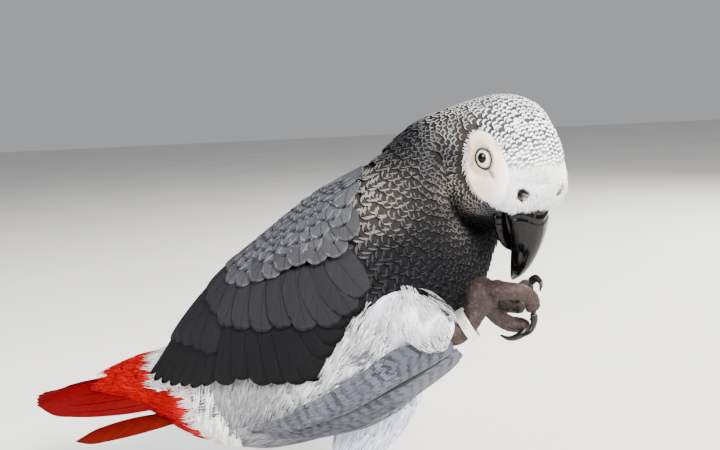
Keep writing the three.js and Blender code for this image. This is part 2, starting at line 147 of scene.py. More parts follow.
# ---- Surfaces -----------------------------------------------------------------------------
class Surface:
    """A shape given by two parameters, which can be grown outwards."""

    step_a: float = 1e-4
    step_b: float = 0.05

    def point(self, a: Array, b: Array, grow: Array | float = 0.0) -> Array:
        """The point at (a, b), moved outwards by grow."""
        raise NotImplementedError

    @cached_property
    def facing(self) -> float:
        """Sign that turns the cross product of the two changes outwards, over the whole shape."""
        a, b = np.meshgrid(np.linspace(0.2, 0.8, 7), np.arange(5.0, 365.0, 30.0))
        by_a, by_b = self.changes(a, b)
        return float(np.sign((np.cross(by_a, by_b) * (self.point(a, b, 1.0) - self.point(a, b))).sum()))

    def changes(self, a: Array, b: Array) -> tuple[Array, Array]:
        """How fast the point moves with a and with b, from central differences."""
        by_a = (self.point(a + self.step_a, b) - self.point(a - self.step_a, b)) / (2 * self.step_a)
        by_b = (self.point(a, b + self.step_b) - self.point(a, b - self.step_b)) / (2 * self.step_b)
        return by_a, by_b

    def raised(self, a: Array, b: Array, stand: Array) -> Array:
        """The point at (a, b), stood off square to the surface."""
        here, _, _, normal = self.basis(a, b)
        return here + np.asarray(stand)[..., None] * normal

    def basis(self, a: Array, b: Array) -> tuple[Array, Array, Array, Array]:
        """Work out the local frame.

        Args:
            a: First parameter.
            b: Second parameter.

        Returns:
            The point, its change with a, its change with b, and the unit outward normal.
        """
        by_a, by_b = self.changes(a, b)
        return self.point(a, b), by_a, by_b, unit(np.cross(by_a, by_b)) * self.facing

    def moved(self, a: Array, b: Array, way: Array) -> tuple[Array, Array]:
        """Find the parameters a short way along the surface.

        Args:
            a: First parameter.
            b: Second parameter.
            way: Vector in millimetres; only its part along the surface counts.

        Returns:
            The two parameters there.
        """
        _, by_a, by_b, _ = self.basis(a, b)
        aa, ab, bb = ((p * q).sum(-1) for p, q in ((by_a, by_a), (by_a, by_b), (by_b, by_b)))
        wa, wb = (way * by_a).sum(-1), (way * by_b).sum(-1)
        area = np.maximum(aa * bb - ab * ab, 1e-12)
        return a + (wa * bb - wb * ab) / area, b + (wb * aa - wa * ab) / area


@dataclass
class Loft(Surface):
    """Oval slices along a spine.

    A station is (x, y, z, pitch, yaw, half width, height above, depth below). The point at u
    along the spine and v degrees round it is centre + half cos v left + height sin v top, with
    v = 0 at the left side, 90 on top and 180 on the right.
    """

    stations: tuple[Row, ...]
    keys: Array = field(init=False)
    rows: Array = field(init=False)

    def __post_init__(self) -> None:
        """Key each station by its share of the distance along the centres."""
        self.rows = np.array(self.stations, float)
        gone = np.linalg.norm(np.diff(self.rows[:, :3], axis=0), axis=1)
        keys = np.concatenate([[0.0], np.cumsum(gone)])
        self.keys = keys / keys[-1]

    def slice_at(self, u: Array) -> tuple[Array, Array, Array, Array, Array]:
        """The centre, the three directions (along, left, top) and the radii at u."""
        row = smooth_rows(self.keys, self.rows, np.clip(u, 0.0, 1.0))
        pitch, yaw = np.radians(row[..., 3]), np.radians(row[..., 4])
        along = np.stack(
            [np.cos(pitch) * np.cos(yaw), -np.cos(pitch) * np.sin(yaw), np.sin(pitch)], -1
        )
        left = np.stack([np.sin(yaw), np.cos(yaw), np.zeros_like(yaw)], -1)
        return row[..., :3], along, left, np.cross(along, left), row[..., 5:8]

    def point(self, a: Array, b: Array, grow: Array | float = 0.0) -> Array:
        """The point at share a of the spine and b degrees round it."""
        a, b = np.broadcast_arrays(np.asarray(a, float), np.asarray(b, float))
        centre, _, left, top, radii = self.slice_at(a)
        angle = np.radians(b)
        cos, sin = np.cos(angle), np.sin(angle)
        height = np.where(sin >= 0, radii[..., 1], radii[..., 2])
        side = (radii[..., 0] + grow) * cos
        rise = (height + grow) * sin
        return centre + side[..., None] * left + rise[..., None] * top


@dataclass
class Tube(Surface):
    """A round-ended bar along a smooth path.

    A stop is (x, y, z, half width, half height). The point at share a and b degrees round is
    path + width cos b across + height sin b top; the width starts square to the up direction.
    """

    stops: tuple[Row, ...]
    up: tuple[float, float, float] = (0.0, 0.0, 1.0)
    blunt: float = 0.8
    step_a: float = 1e-3
    samples: int = 81
    path: Array = field(init=False)

    def __post_init__(self) -> None:
        """Carry the width along the path without twisting, and keep the frames as rows."""
        rows = np.array(self.stops, float)
        gone = np.linalg.norm(np.diff(rows[:, :3], axis=0), axis=1)
        keys = np.concatenate([[0.0], np.cumsum(gone)]) / gone.sum()
        fine = smooth_rows(keys, rows, np.linspace(0, 1, 801))
        far = np.concatenate([[0.0], np.cumsum(np.linalg.norm(np.diff(fine[:, :3], axis=0), axis=1))])
        self.length = float(far[-1])
        even = np.linspace(0, self.length, self.samples)
        made = np.stack([np.interp(even, far, column) for column in fine.T], -1)
        tangent = unit(np.gradient(made[:, :3], axis=0))
        across = np.empty_like(tangent)
        side = np.cross(self.up, tangent[0])
        for i, way in enumerate(tangent):
            side = unit(side - (side @ way) * way)
            across[i] = side
        self.path = np.concatenate([made, across, np.cross(tangent, across)], -1)

    def point(self, a: Array, b: Array, grow: Array | float = 0.0) -> Array:
        """The point at share a of the length and b degrees round it."""
        a, b = np.broadcast_arrays(np.asarray(a, float), np.asarray(b, float))
        at = np.linspace(0, 1, self.samples)
        share = np.clip(a, 0.0, 1.0)
        row = np.stack([np.interp(share, at, column) for column in self.path.T], -1)
        near = np.minimum(share, 1 - share) * self.length / (self.blunt * np.maximum(row[..., 4], 0.1))
        end = np.sqrt(1 - (1 - np.clip(near, 0.0, 1.0)) ** 2)
        angle = np.radians(b)
        open_end = np.where(end > 0, grow, 0.0)
        side = (end * row[..., 3] + open_end) * np.cos(angle)
        rise = (end * row[..., 4] + open_end) * np.sin(angle)
        return row[..., :3] + side[..., None] * row[..., 5:8] + rise[..., None] * row[..., 8:11]


# ---- Head frame ---------------------------------------------------------------------------
HEAD_CENTRE = np.array([88.4, -12.6, 190.0])  # midway between the eyes
HEAD_PITCH = np.radians(30.0)
HEAD_YAW = np.radians(45.0)
HEAD_FORWARD = np.array(
    [
        np.cos(HEAD_PITCH) * np.cos(HEAD_YAW),
        -np.cos(HEAD_PITCH) * np.sin(HEAD_YAW),
        -np.sin(HEAD_PITCH),
    ]
)
HEAD_LEFT = np.array([np.sin(HEAD_YAW), np.cos(HEAD_YAW), 0.0])
HEAD_UP = np.cross(HEAD_FORWARD, HEAD_LEFT)
HEAD_AXES = np.stack([HEAD_FORWARD, HEAD_LEFT, HEAD_UP])


def on_head(ahead: Array, aside: Array, above: Array) -> Array:
    """The point that far ahead of, left of and above the middle between the eyes."""
    parts = np.stack(np.broadcast_arrays(ahead, aside, above), -1).astype(float)
    return HEAD_CENTRE + parts @ HEAD_AXES


def in_head(points: Array) -> Array:
    """Distances ahead, aside and above of points, the inverse of on_head."""
    return (points - HEAD_CENTRE) @ HEAD_AXES.T


# The bare face: its edge as (angle from straight ahead towards the crown, radius) about a
# point a little ahead of and below the eye.
FACE_MIDDLE = (1.0, -3.0)
FACE_ROUND = 6.5  # the bare face's least reach from its middle
FACE_LOBES = (  # direction in degrees above straight ahead, extra reach, spread
    (124.0, 7.5, 32.0),  # up and back, behind the brow
    (48.0, 3.0, 44.0),  # up and ahead
    (-34.0, 11.0, 52.0),  # down and ahead, to the bill
)
EYE_R = 6.0
EYE_ASIDE = 14.4
NOSTRIL = (20.3, 10.0, -6.1)
NOSTRIL_AXIS = (0.681, 0.464, 0.566)
FOLDS = (  # (start, end), depth, width, painted crease shade: ahead and above of the middle between the eyes
    ((4.6, -1.4), (10.4, -4.4), 0.7, 1.0, 1.0),
    ((4.6, 2.4), (9.4, -1.6), 0.3, 0.6, 0.25),
    ((-1.5, -6.4), (4.0, -8.2), 0.16, 0.5, 0.1),
    ((-6.8, 1.8), (-5.0, 6.6), 0.16, 0.5, 0.1),
)
EYE_OPENING = (1.2, 0.3, 4.1, 3.75)  # middle ahead and above, half width and half height


def face_reach(angle: Array) -> Array:
    """How far the bare face reaches in a direction: a round, and three bells for its lobes."""
    reach = np.full_like(angle, FACE_ROUND)
    for direction, extra, spread in FACE_LOBES:
        reach = reach + extra * hump((angle - direction + 180.0) % 360.0 - 180.0, 0.0, spread)
    return reach


def bareness(head: Array, spare: float = 0.0, soft: float = 1.4) -> Array:
    """How bare the face is.

    The share falls smoothly from 1 to 0 across the face's edge.

    Args:
        head: Points as distances ahead, aside and above.
        spare: Millimetres by which the edge is moved outwards.
        soft: Width of the fall.

    Returns:
        1 on the bare face and 0 on the coat.
    """
    ahead, above = head[..., 0] - FACE_MIDDLE[0], head[..., 2] - FACE_MIDDLE[1]
    angle = np.degrees(np.arctan2(above, ahead))
    inside = face_reach(angle) + spare - np.hypot(ahead, above)
    return smoothstep(-soft / 2, soft / 2, inside) * smoothstep(5.0, 9.0, np.abs(head[..., 1]))


# ---- The body's outer form ----------------------------------------------------------------
def along_fold(head: Array, start: tuple[float, float], end: tuple[float, float], width: float) -> Array:
    """A bell across the line from start to end on the cheeks, which fades at both ends."""
    f, u = head[..., 0] - start[0], head[..., 2] - start[1]
    line = np.array(end) - np.array(start)
    share = np.clip((f * line[0] + u * line[1]) / (line @ line), 0, 1)
    away = np.hypot(f - share * line[0], u - share * line[1])
    return hump(away, 0.0, width) * np.sin(np.pi * (0.15 + 0.8 * share)) * (np.abs(head[..., 1]) > 10)


def nostril_distance(head: Array) -> Array:
    """Distance of points from the axis of the nearer nostril's round hole, far off 9 or more."""
    away = np.stack([head[..., 0], np.abs(head[..., 1]), head[..., 2]], -1) - np.array(NOSTRIL)
    across = np.linalg.norm(away - (away @ np.array(NOSTRIL_AXIS))[..., None] * NOSTRIL_AXIS, axis=-1)
    return across + 9.0 * (np.linalg.norm(away, axis=-1) > 9.0)


FACE_SINK = 4.2
FACE_REACH = 15.0


def head_station(ahead: float, top: float, bottom: float, half: float, pitch: float, yaw: float) -> Row:
    """A loft station from a head slice: distance ahead, top, bottom and half width."""
    centre = on_head(ahead, 0.0, (top + bottom) / 2)
    deep = (top - bottom) / 2
    return (*centre, pitch, yaw, half, deep, deep)


@dataclass
class BodyForm(Loft):
    """The coat's outer surface from tail root to face, with the cheeks sunk round the eyes."""

    stations: tuple[Row, ...] = (
        (-106, 0, 69, 14, 0, 0, 0, 0),
        (-100, 0, 72, 15, 0, 10, 9, 11),
        (-84, 0, 77, 18, 0, 20, 18, 27),
        (-62, 0, 86, 24, 0, 32, 32, 43),
        (-35, 0, 99, 30, 0, 41, 42, 51),
        (-8, 0, 117, 36, 0, 44, 43, 60),
        (18, 0, 138, 38, 0, 42, 42, 54),
        (40, 0, 160, 36, 2, 36, 34, 46),
        (57, 2, 178, 24, 12, 31, 31, 40),
        (71, 1, 191, 4, 30, 29, 22.5, 37),
        head_station(-10, 19.5, -37.5, 28, -17, 42),
        head_station(0, 17.5, -31.5, 25, -27, 45),
        head_station(8, 13, -24.5, 23, -30, 45),
        head_station(15, 6, -19.5, 18.6, -30, 45),
        head_station(19.5, -1, -15.8, 12.5, -30, 45),
        head_station(21.5, -5.5, -12, 6, -30, 45),
        head_station(22.2, -9, -9, 0, -30, 45),
    )

    def point(self, a: Array, b: Array, grow: Array | float = 0.0) -> Array:
        """The loft's point, pressed in by a flat-topped bell round each eye."""
        at = super().point(a, b, grow)
        head = in_head(at)
        far = np.hypot(head[..., 0] - 1, (head[..., 2] + 2) * 0.9) / FACE_REACH
        side = np.clip((np.abs(head[..., 1]) - 10) / 8, 0, 1)
        press = -np.sign(head[..., 1]) * FACE_SINK * np.exp(-(far**4)) * side
        return at + press[..., None] * HEAD_LEFT


BODY = BodyForm()

WING_LOFT = Loft(
    (
        (40, 0, 160, 36, 0, 38.5, 36.5, 50),
        (28, 0, 148, 37, 0, 44, 41.5, 55),
        (18, 0, 138, 38, 0, 47, 45, 60),
        (-8, 0, 117, 36, 0, 49.5, 47, 66),
        (-35, 0, 99, 32, 0, 47, 46, 56),
        (-62, 0, 86, 30, 0, 40, 36, 46),
        (-84, 0, 77, 30, 0, 31, 24, 32),
        (-100, 0, 69, 30, 0, 24, 19, 24),
        (-114, 0, 62, 30, 0, 20, 14, 20),
    )
)
WING_LOWER_EDGE: tuple[Row, ...] = (
    (0.02, 62), (0.08, 90), (0.14, 102), (0.22, 101), (0.3, 104), (0.39, 108),
    (0.46, 103), (0.53, 91), (0.62, 88), (0.7, 84), (0.78, 72), (0.84, 50),
)  # fmt: skip
WING_UPPER_EDGE: tuple[Row, ...] = ((0.02, 34), (0.12, 16), (0.25, 8), (0.5, 4), (0.84, 3))


class Hand(Enum):
    """A side of the bird, with the sign of Y on it."""

    LEFT = 1
    RIGHT = -1


@dataclass
class WingForm(Surface):
    """The outer face of one folded wing: share a of its length, b degrees down from the spine."""

    hand: Hand

    def point(self, a: Array, b: Array, grow: Array | float = 0.0) -> Array:
        """The wing loft's point on the right side, mirrored for the left."""
        at = WING_LOFT.point(a, 90.0 + np.asarray(b, float), grow)
        if self.hand is Hand.LEFT:
            at = at * np.array([1.0, -1.0, 1.0])
        return at


def under_wing(points: Array, margin: float) -> Array:
    """Tell which points of the body lie under a folded wing.

    The nearest slice of the wing's loft gives how far back a point is, and its angle from the
    middle of the back is held against the wing's two edges.

    Args:
        points: Points on the body.
        margin: Degrees by which the wing is taken to be narrower.

    Returns:
        True where a wing covers the point.
    """
    u = np.linspace(0.0, 1.0, 101)
    centre, along, _, top, _ = WING_LOFT.slice_at(u)
    offset = points[:, None, :] - centre[None]
    nearest = np.abs((offset * along).sum(-1)).argmin(1)
    away = offset[np.arange(len(points)), nearest]
    angle = np.degrees(np.arctan2(np.abs(away[:, 1]), (away * top[nearest]).sum(-1)))
    share = u[nearest]
    data_low, data_up = np.array(WING_LOWER_EDGE), np.array(WING_UPPER_EDGE)
    low = np.interp(share, data_low[:, 0], data_low[:, 1])
    high = np.interp(share, data_up[:, 0], data_up[:, 1])
    inside = (angle < low - margin) & (angle > high + margin)
    return inside & (share > 0.03) & (share < 0.8)


# ---- Plumage colours ----------------------------------------------------------------------
@dataclass(frozen=True)
class Marking:
    """A patch of plumage: its middle, its reach, and what a feather there is like.

    Pitch is the distance between rows; edge is the share of the feather that the pale fringe
    takes up.
    """

    at: tuple[float, float, float]
    reach: float
    centre: str
    fringe: str
    pitch: float
    edge: float
    on_head: bool = False


# The plumage's tones, from the darkest: each is shared by many feathers.
SOOT = "#070707"
COAL = "#0b0b0d"
JET = "#131316"
PITCH = "#171513"  # warm
INK = "#1c1c1f"
CHARCOAL = "#242426"
UMBER = "#292622"  # warm
SLATE = "#313134"
IRON = "#3c3d40"
STEEL = "#444548"
LEAD = "#505257"
DUSK = "#5a5b5e"
BLUE_SLATE = "#434650"  # the barred plumes
BLUE_ASH = "#555863"
ASH = "#686a6e"
DUST = "#6b6967"  # warm
PEWTER = "#7a7b7f"
SAND = "#7a7774"  # warm
SILVER = "#8a8a8d"
FOG = "#a8a9ab"
PEARL = "#b8b6b2"
MILK = "#d8dada"
CHALK = "#f0f0f2"
WHITE = "#fafafc"


MARKINGS: tuple[Marking, ...] = (
    # head, by distances ahead, aside and above
    Marking((21, 4, -2), 8, PEARL, WHITE, 1.75, 0.5, True),
    Marking((16, 7, 7), 6, LEAD, WHITE, 1.8, 0.5, True),
    Marking((8, 8, 15), 7, IRON, CHALK, 1.95, 0.5, True),
    Marking((-3, 8, 19), 8, SLATE, MILK, 2.1, 0.46, True),
    Marking((-14, 9, 19), 9, SLATE, PEARL, 2.3, 0.34, True),
    Marking((-27, 9, 14), 10, CHARCOAL, PEARL, 2.6, 0.2, True),
    Marking((-14, 22, 6), 6, UMBER, PEWTER, 2.1, 0.26, True),
    Marking((-17, 22, -7), 8, PITCH, IRON, 2.0, 0.34, True),
    Marking((-9, 21, -18), 6, UMBER, DUST, 1.8, 0.34, True),
    Marking((5, 17, -22), 7, UMBER, DUST, 1.7, 0.36, True),
    Marking((13, 12, -21), 6, PITCH, LEAD, 1.7, 0.3, True),
    Marking((4, 6, -32), 8, SOOT, INK, 2.0, 0.22, True),
    Marking((-12, 22, -30), 10, SOOT, INK, 2.3, 0.18, True),
    Marking((-40, 8, 6), 12, PITCH, SAND, 2.7, 0.15, True),
    Marking((-36, 26, -14), 12, COAL, CHARCOAL, 2.6, 0.14, True),
    Marking((-26, 20, -38), 13, SOOT, JET, 2.7, 0.14, True),
    # body, by x, |y|, z
    Marking((26, 12, 172), 14, UMBER, DUST, 3.4, 0.2),
    Marking((14, 8, 166), 12, IRON, DUST, 4.6, 0.3),
    Marking((-10, 0, 156), 22, SLATE, DUSK, 5.2, 0.25),
    Marking((48, 34, 144), 14, COAL, INK, 3.0, 0.14),
    Marking((60, 30, 128), 12, COAL, CHARCOAL, 3.2, 0.16),
    Marking((68, 8, 134), 16, COAL, SLATE, 3.4, 0.16),
    Marking((44, 30, 112), 13, INK, STEEL, 4.6, 0.3),
    Marking((52, 8, 108), 15, CHARCOAL, DUSK, 4.8, 0.3),
    Marking((30, 0, 88), 22, IRON, PEWTER, 6.0, 0.4),
    Marking((0, 44, 96), 20, ASH, SILVER, 6.5, 0.5),
    Marking((-40, 38, 84), 20, ASH, SILVER, 6.5, 0.5),
    Marking((-10, 20, 62), 22, LEAD, PEWTER, 6.5, 0.4),
    Marking((-62, 20, 56), 18, SILVER, FOG, 6.5, 0.5),
    Marking((-84, 0, 92), 16, SILVER, FOG, 5.5, 0.5),
    Marking((-50, 0, 125), 24, IRON, DUST, 6.0, 0.3),
)


def blended(points: Array, values: Array) -> Array:
    """Blend a value given for each marking over points.

    Each patch weighs 1 / (1 + (distance / reach)^2)^4, so the nearest patches decide.

    Args:
        points: Places in millimetres.
        values: One row for each marking.

    Returns:
        One row for each point.
    """
    head = in_head(points)
    head = np.stack([head[:, 0], np.abs(head[:, 1]), head[:, 2]], -1)
    body = np.stack([points[:, 0], np.abs(points[:, 1]), points[:, 2]], -1)
    total, made = np.zeros(len(points)), np.zeros((len(points), values.shape[1]))
    for mark, value in zip(MARKINGS, values):
        away = (((head if mark.on_head else body) - np.array(mark.at)) ** 2).sum(-1) / mark.reach**2
        weight = 1.0 / (1.0 + away) ** 4
        total += weight
        made += weight[:, None] * value
    return made / total[:, None]


def markings_at(points: Array) -> tuple[Array, Array]:
    """Linear colours of a feather's centre and of its fringe at points."""
    values = np.array([np.concatenate([linear(m.centre), linear(m.fringe)]) for m in MARKINGS])
    made = blended(points, values)
    return made[:, :3], made[:, 3:]


def feather_size_at(points: Array) -> tuple[Array, Array]:
    """Distance between rows, and the fringe's share of a feather, at points."""
    made = blended(points, np.array([(m.pitch, m.edge) for m in MARKINGS]))
    return made[:, 0] * 0.92, made[:, 1]


# ---- Mesh building ------------------------------------------------------------------------
@dataclass
class Shell:
    """Points, faces and what they carry, ready to become a mesh.

    Faces are arrays of point numbers with as many columns as corners, each with a flat flag and
    a material number. Maps and tints hold one row for each point.
    """

    points: Array
    faces: list[Array]
    flat: list[bool] = field(default_factory=list)
    dress: list[int] = field(default_factory=list)
    maps: dict[str, Array] = field(default_factory=dict)
    tints: dict[str, Array] = field(default_factory=dict)
    vectors: dict[str, Array] = field(default_factory=dict)

    def __post_init__(self) -> None:
        """Faces are smooth and wear the first material unless told otherwise."""
        self.flat = self.flat or [False] * len(self.faces)
        self.dress = self.dress or [0] * len(self.faces)


def joined(shells: list[Shell]) -> Shell:
    """Put shells into one, keeping what they carry."""
    starts = np.cumsum([0] + [len(s.points) for s in shells])
    keys = [set(s.maps) | set(s.tints) | set(s.vectors) for s in shells]
    assert all(k == keys[0] for k in keys), "shells to be joined carry the same layers"
    return Shell(
        points=np.concatenate([s.points for s in shells]),
        faces=[f + start for s, start in zip(shells, starts) for f in s.faces],
        flat=[flag for s in shells for flag in s.flat],
        dress=[number for s in shells for number in s.dress],
        maps={k: np.concatenate([s.maps[k] for s in shells]) for k in shells[0].maps},
        tints={k: np.concatenate([s.tints[k] for s in shells]) for k in shells[0].tints},
        vectors={k: np.concatenate([s.vectors[k] for s in shells]) for k in shells[0].vectors},
    )


def mesh_of(name: str, shell: Shell) -> bpy.types.Mesh:
    """Make a Blender mesh from a shell.

    Args:
        name: Name of the mesh.
        shell: Its points in millimetres, faces and layers.

    Returns:
        The mesh, in metres.
    """
    mesh = bpy.data.meshes.new(name)
    points = shell.points * MM
    loops = np.concatenate([f.ravel() for f in shell.faces]).astype(np.int32)
    sizes = np.concatenate([np.full(len(f), f.shape[1]) for f in shell.faces]).astype(np.int32)
    starts = np.concatenate([[0], np.cumsum(sizes)[:-1]]).astype(np.int32)
    mesh.vertices.add(len(points))
    mesh.vertices.foreach_set("co", points.ravel().astype(np.float32))
    mesh.loops.add(len(loops))
    mesh.loops.foreach_set("vertex_index", loops)
    mesh.polygons.add(len(sizes))
    mesh.polygons.foreach_set("loop_start", starts)
    flat = np.concatenate([np.full(len(f), flag) for f, flag in zip(shell.faces, shell.flat)])
    dress = np.concatenate([np.full(len(f), n) for f, n in zip(shell.faces, shell.dress)])
    for key, values in shell.maps.items():
        layer = mesh.uv_layers.new(name=key)
        layer.uv.foreach_set("vector", values[loops].ravel().astype(np.float32))
    for key, values in shell.tints.items():
        layer = mesh.attributes.new(key, "FLOAT_COLOR", "POINT")
        layer.data.foreach_set("color", values.ravel().astype(np.float32))
    for key, values in shell.vectors.items():
        layer = mesh.attributes.new(key, "FLOAT_VECTOR", "POINT")
        layer.data.foreach_set("vector", values.ravel().astype(np.float32))
    mesh.update(calc_edges=True)
    mesh.polygons.foreach_set("use_smooth", ~flat)
    mesh.polygons.foreach_set("material_index", dress.astype(np.int32))
    mesh.validate()
    return mesh


def grid_faces(rows: int, cols: int, wrap: bool = False, flip: bool = False) -> Array:
    """Four-cornered faces of a grid of points numbered row by row.

    Args:
        rows: Rows of points.
        cols: Points in a row.
        wrap: Whether the last point of a row joins the first.
        flip: Whether to turn the faces over.

    Returns:
        Faces, four columns.
    """
    i, j = np.meshgrid(np.arange(rows - 1), np.arange(cols if wrap else cols - 1), indexing="ij")
    k = (j + 1) % cols
    faces = np.stack([i * cols + j, i * cols + k, (i + 1) * cols + k, (i + 1) * cols + j], -1)
    faces = faces.reshape(-1, 4)
    return faces[:, ::-1] if flip else faces


def capped(rings: Array) -> Shell:
    """Close a stack of rings with a pole at each end, faces outwards.

    Args:
        rings: Points (rings, around, 3), whose first and last rings may be single points.

    Returns:
        A closed shell. The poles are the means of the end rings.
    """
    count, around = rings.shape[:2]
    body = rings[1:-1].reshape(-1, 3)
    points = np.concatenate([body, rings[0].mean(0)[None], rings[-1].mean(0)[None]])
    here = np.arange(around)
    ahead = (here + 1) % around
    last = (count - 3) * around
    fan = lambda pole, base: np.stack([np.full(around, pole), base + ahead, base + here], -1)  # noqa: E731
    faces = [grid_faces(count - 2, around, wrap=True), fan(len(body), 0), fan(len(body) + 1, last)[:, ::-1]]
    ring = body.reshape(count - 2, around, 3)
    middle = ring.mean(1, keepdims=True)
    by_row = np.gradient(ring, axis=0)
    by_col = (np.roll(ring, -1, 1) - np.roll(ring, 1, 1)) / 2
    outward = (np.cross(by_col, by_row) * (ring - middle)).sum() > 0
    return Shell(points, faces if outward else [f[:, ::-1] for f in faces])


def place(
    name: str,
    shell: Shell,
    finishes: list[bpy.types.Material],
    slot: str,
    nodes: tuple[str, ...] = (),
) -> bpy.types.Object:
    """Make a piece, dress it and tie it to the frame.

    Args:
        name: Name of the piece.
        shell: Its form.
        finishes: Its materials, in the order that the faces number them.
        slot: A material slot's name; not used.
        nodes: CAD nodes that it stands for.

    Returns:
        The object.
    """
    piece = bpy.data.objects.new(name, mesh_of(name, shell))
    bpy.context.collection.objects.link(piece)
    for finish in finishes:
        piece.data.materials.append(finish)
    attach(piece, "root")
    if nodes:
        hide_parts(*nodes)
    triangles = sum(len(f) * (f.shape[1] - 2) for f in shell.faces)
    log.info("%s: %d triangles", name, triangles)
    return piece


# ---- Feathers -----------------------------------------------------------------------------
@dataclass(frozen=True)
class VaneCut:
    """The outline of a feather, as shares of its length and width.

    Across, the half width at share s of the length grows from the neck to full at the shoulder
    and falls to the end. Along, the sides stop short of the middle by tip t^2 s^3 widths.
    """

    rows: int = 5
    cols: int = 4
    neck: float = 0.5
    shoulder: float = 0.5
    end: float = 0.8
    tip: float = 0.36

    def grid(self) -> tuple[Array, Array, Array, Array, Array]:
        """The points of one feather: the top's grid, then a row along the middle of the underside.

        Across, points stand at the sines of even angles, so that the tip is round.

        Returns:
            For each point the share along s, the place across t from -1 to 1, the half width
            at s, 1 on the underside, and the number of its row.
        """
        s = np.linspace(0, 1, self.rows + 1)
        t = np.sin(np.linspace(-np.pi / 2, np.pi / 2, self.cols + 1))
        grown = self.neck + (1 - self.neck) * np.sin(np.pi / 2 * np.clip(s / self.shoulder, 0, 1))
        past = np.clip((s - self.shoulder) / (1 - self.shoulder), 0, 1)
        wide = grown * (1 - (1 - self.end) * past**2.4)
        row = np.concatenate([np.repeat(np.arange(len(s)), len(t)), np.arange(len(s))])
        low = np.concatenate([np.zeros(len(s) * len(t)), np.ones(len(s))])
        return s[row], np.concatenate([np.tile(t, len(s)), np.zeros(len(s))]), wide[row], low, row

    def faces(self) -> list[Array]:
        """Faces of one feather: the top, two ladders below it, and two end caps at each end."""
        rows, cols = self.rows + 1, self.cols + 1
        left = np.arange(rows) * cols
        right, under = left + cols - 1, np.arange(rows) + rows * cols
        ladders = [(left, under), (under, right)]
        below = [np.stack([p[:-1], q[:-1], q[1:], p[1:]], -1) for p, q in ladders]
        half = self.cols // 2 + 1
        ends = []
        for row, way in ((0, 1), (rows - 1, -1)):
            edge, middle = np.arange(cols) + row * cols, under[row]
            ends += [
                np.append(edge[:half], middle)[None, ::way],
                np.append(edge[half - 1 :], middle)[None, ::way]
            ]
        return [grid_faces(rows, cols, flip=True), *below, *ends]


Way = Callable[[Surface, Array, Array], Array]


@dataclass
class Coat:
    """Many feathers on one surface, with one value for each in every field but way.

    a, b: the root's place on the surface. way: rule for the direction of the shaft. length,
    width: millimetres. sink: depth of the root below the surface. rise: height of the tip above
    it. dome: height of the middle over the edges. lean: height of one side over the other.
    edge: share taken up by the fringe. bars: strength of the dark cross-bars. thick: depth of
    the underside's middle. patch: the root's place on the unwrap, from 0 to 1.
    """

    a: Array
    b: Array
    way: Way
    length: Array
    width: Array
    centre: Array
    fringe: Array
    sink: Array | float = 0.9
    rise: Array | float = 0.0
    dome: Array | float = 0.4
    lean: Array | float = 0.0
    edge: Array | float = 0.2
    bars: Array | float = 0.0
    thick: Array | float = 0.25
    patch: Optional[Array] = None

    def __post_init__(self) -> None:
        """Give every feather its own value, and its place on a round-the-body unwrap."""
        for name in ("length", "width", "sink", "rise", "dome", "lean", "edge", "bars", "thick"):
            value = np.broadcast_to(np.asarray(getattr(self, name), float), (len(self.a),)).copy()
            setattr(self, name, value)
        if self.patch is None:
            low, high = self.a.min(), self.a.max() + 1e-6
            share = (self.a - low) / (high - low)
            self.patch = np.stack([share, (self.b % 360.0) / 360.0], -1) * 0.98 + 0.01

    def count(self) -> int:
        """How many feathers there are."""
        return len(self.a)


PATCH = 0.003  # side of a feather's patch on the unwrap


def with_alpha(colour: Array, extra: Array, count: int, per: int) -> Array:
    """Colours of feathers spread over their points, with a value for each point beside them."""
    solid = np.broadcast_to(colour[:, None, :], (count, per, 3))
    return np.concatenate([solid, np.broadcast_to(extra, (count, per))[..., None]], -1).reshape(-1, 4)


def traced(surface: Surface, coat: Coat, rows: int) -> tuple[Array, Array, Array, Array]:
    """Trace every shaft over the surface in equal steps.

    Args:
        surface: What the feathers lie on.
        coat: The feathers.
        rows: Places on each shaft.

    Returns:
        The two parameters (count, rows), and the directions along and beside the shaft there.
    """
    a, b = coat.a.copy(), coat.b.copy()
    found_a, found_b = [a], [b]
    for _ in range(rows - 1):
        a, b = surface.moved(a, b, coat.way(surface, a, b) * (coat.length / (rows - 1))[:, None])
        found_a.append(a)
        found_b.append(b)
    a, b = np.stack(found_a, 1), np.stack(found_b, 1)
    _, _, _, normal = surface.basis(a.ravel(), b.ravel())
    way = coat.way(surface, a.ravel(), b.ravel())
    shape = (coat.count(), rows, 3)
    return a, b, way.reshape(shape), np.cross(normal, way).reshape(shape)


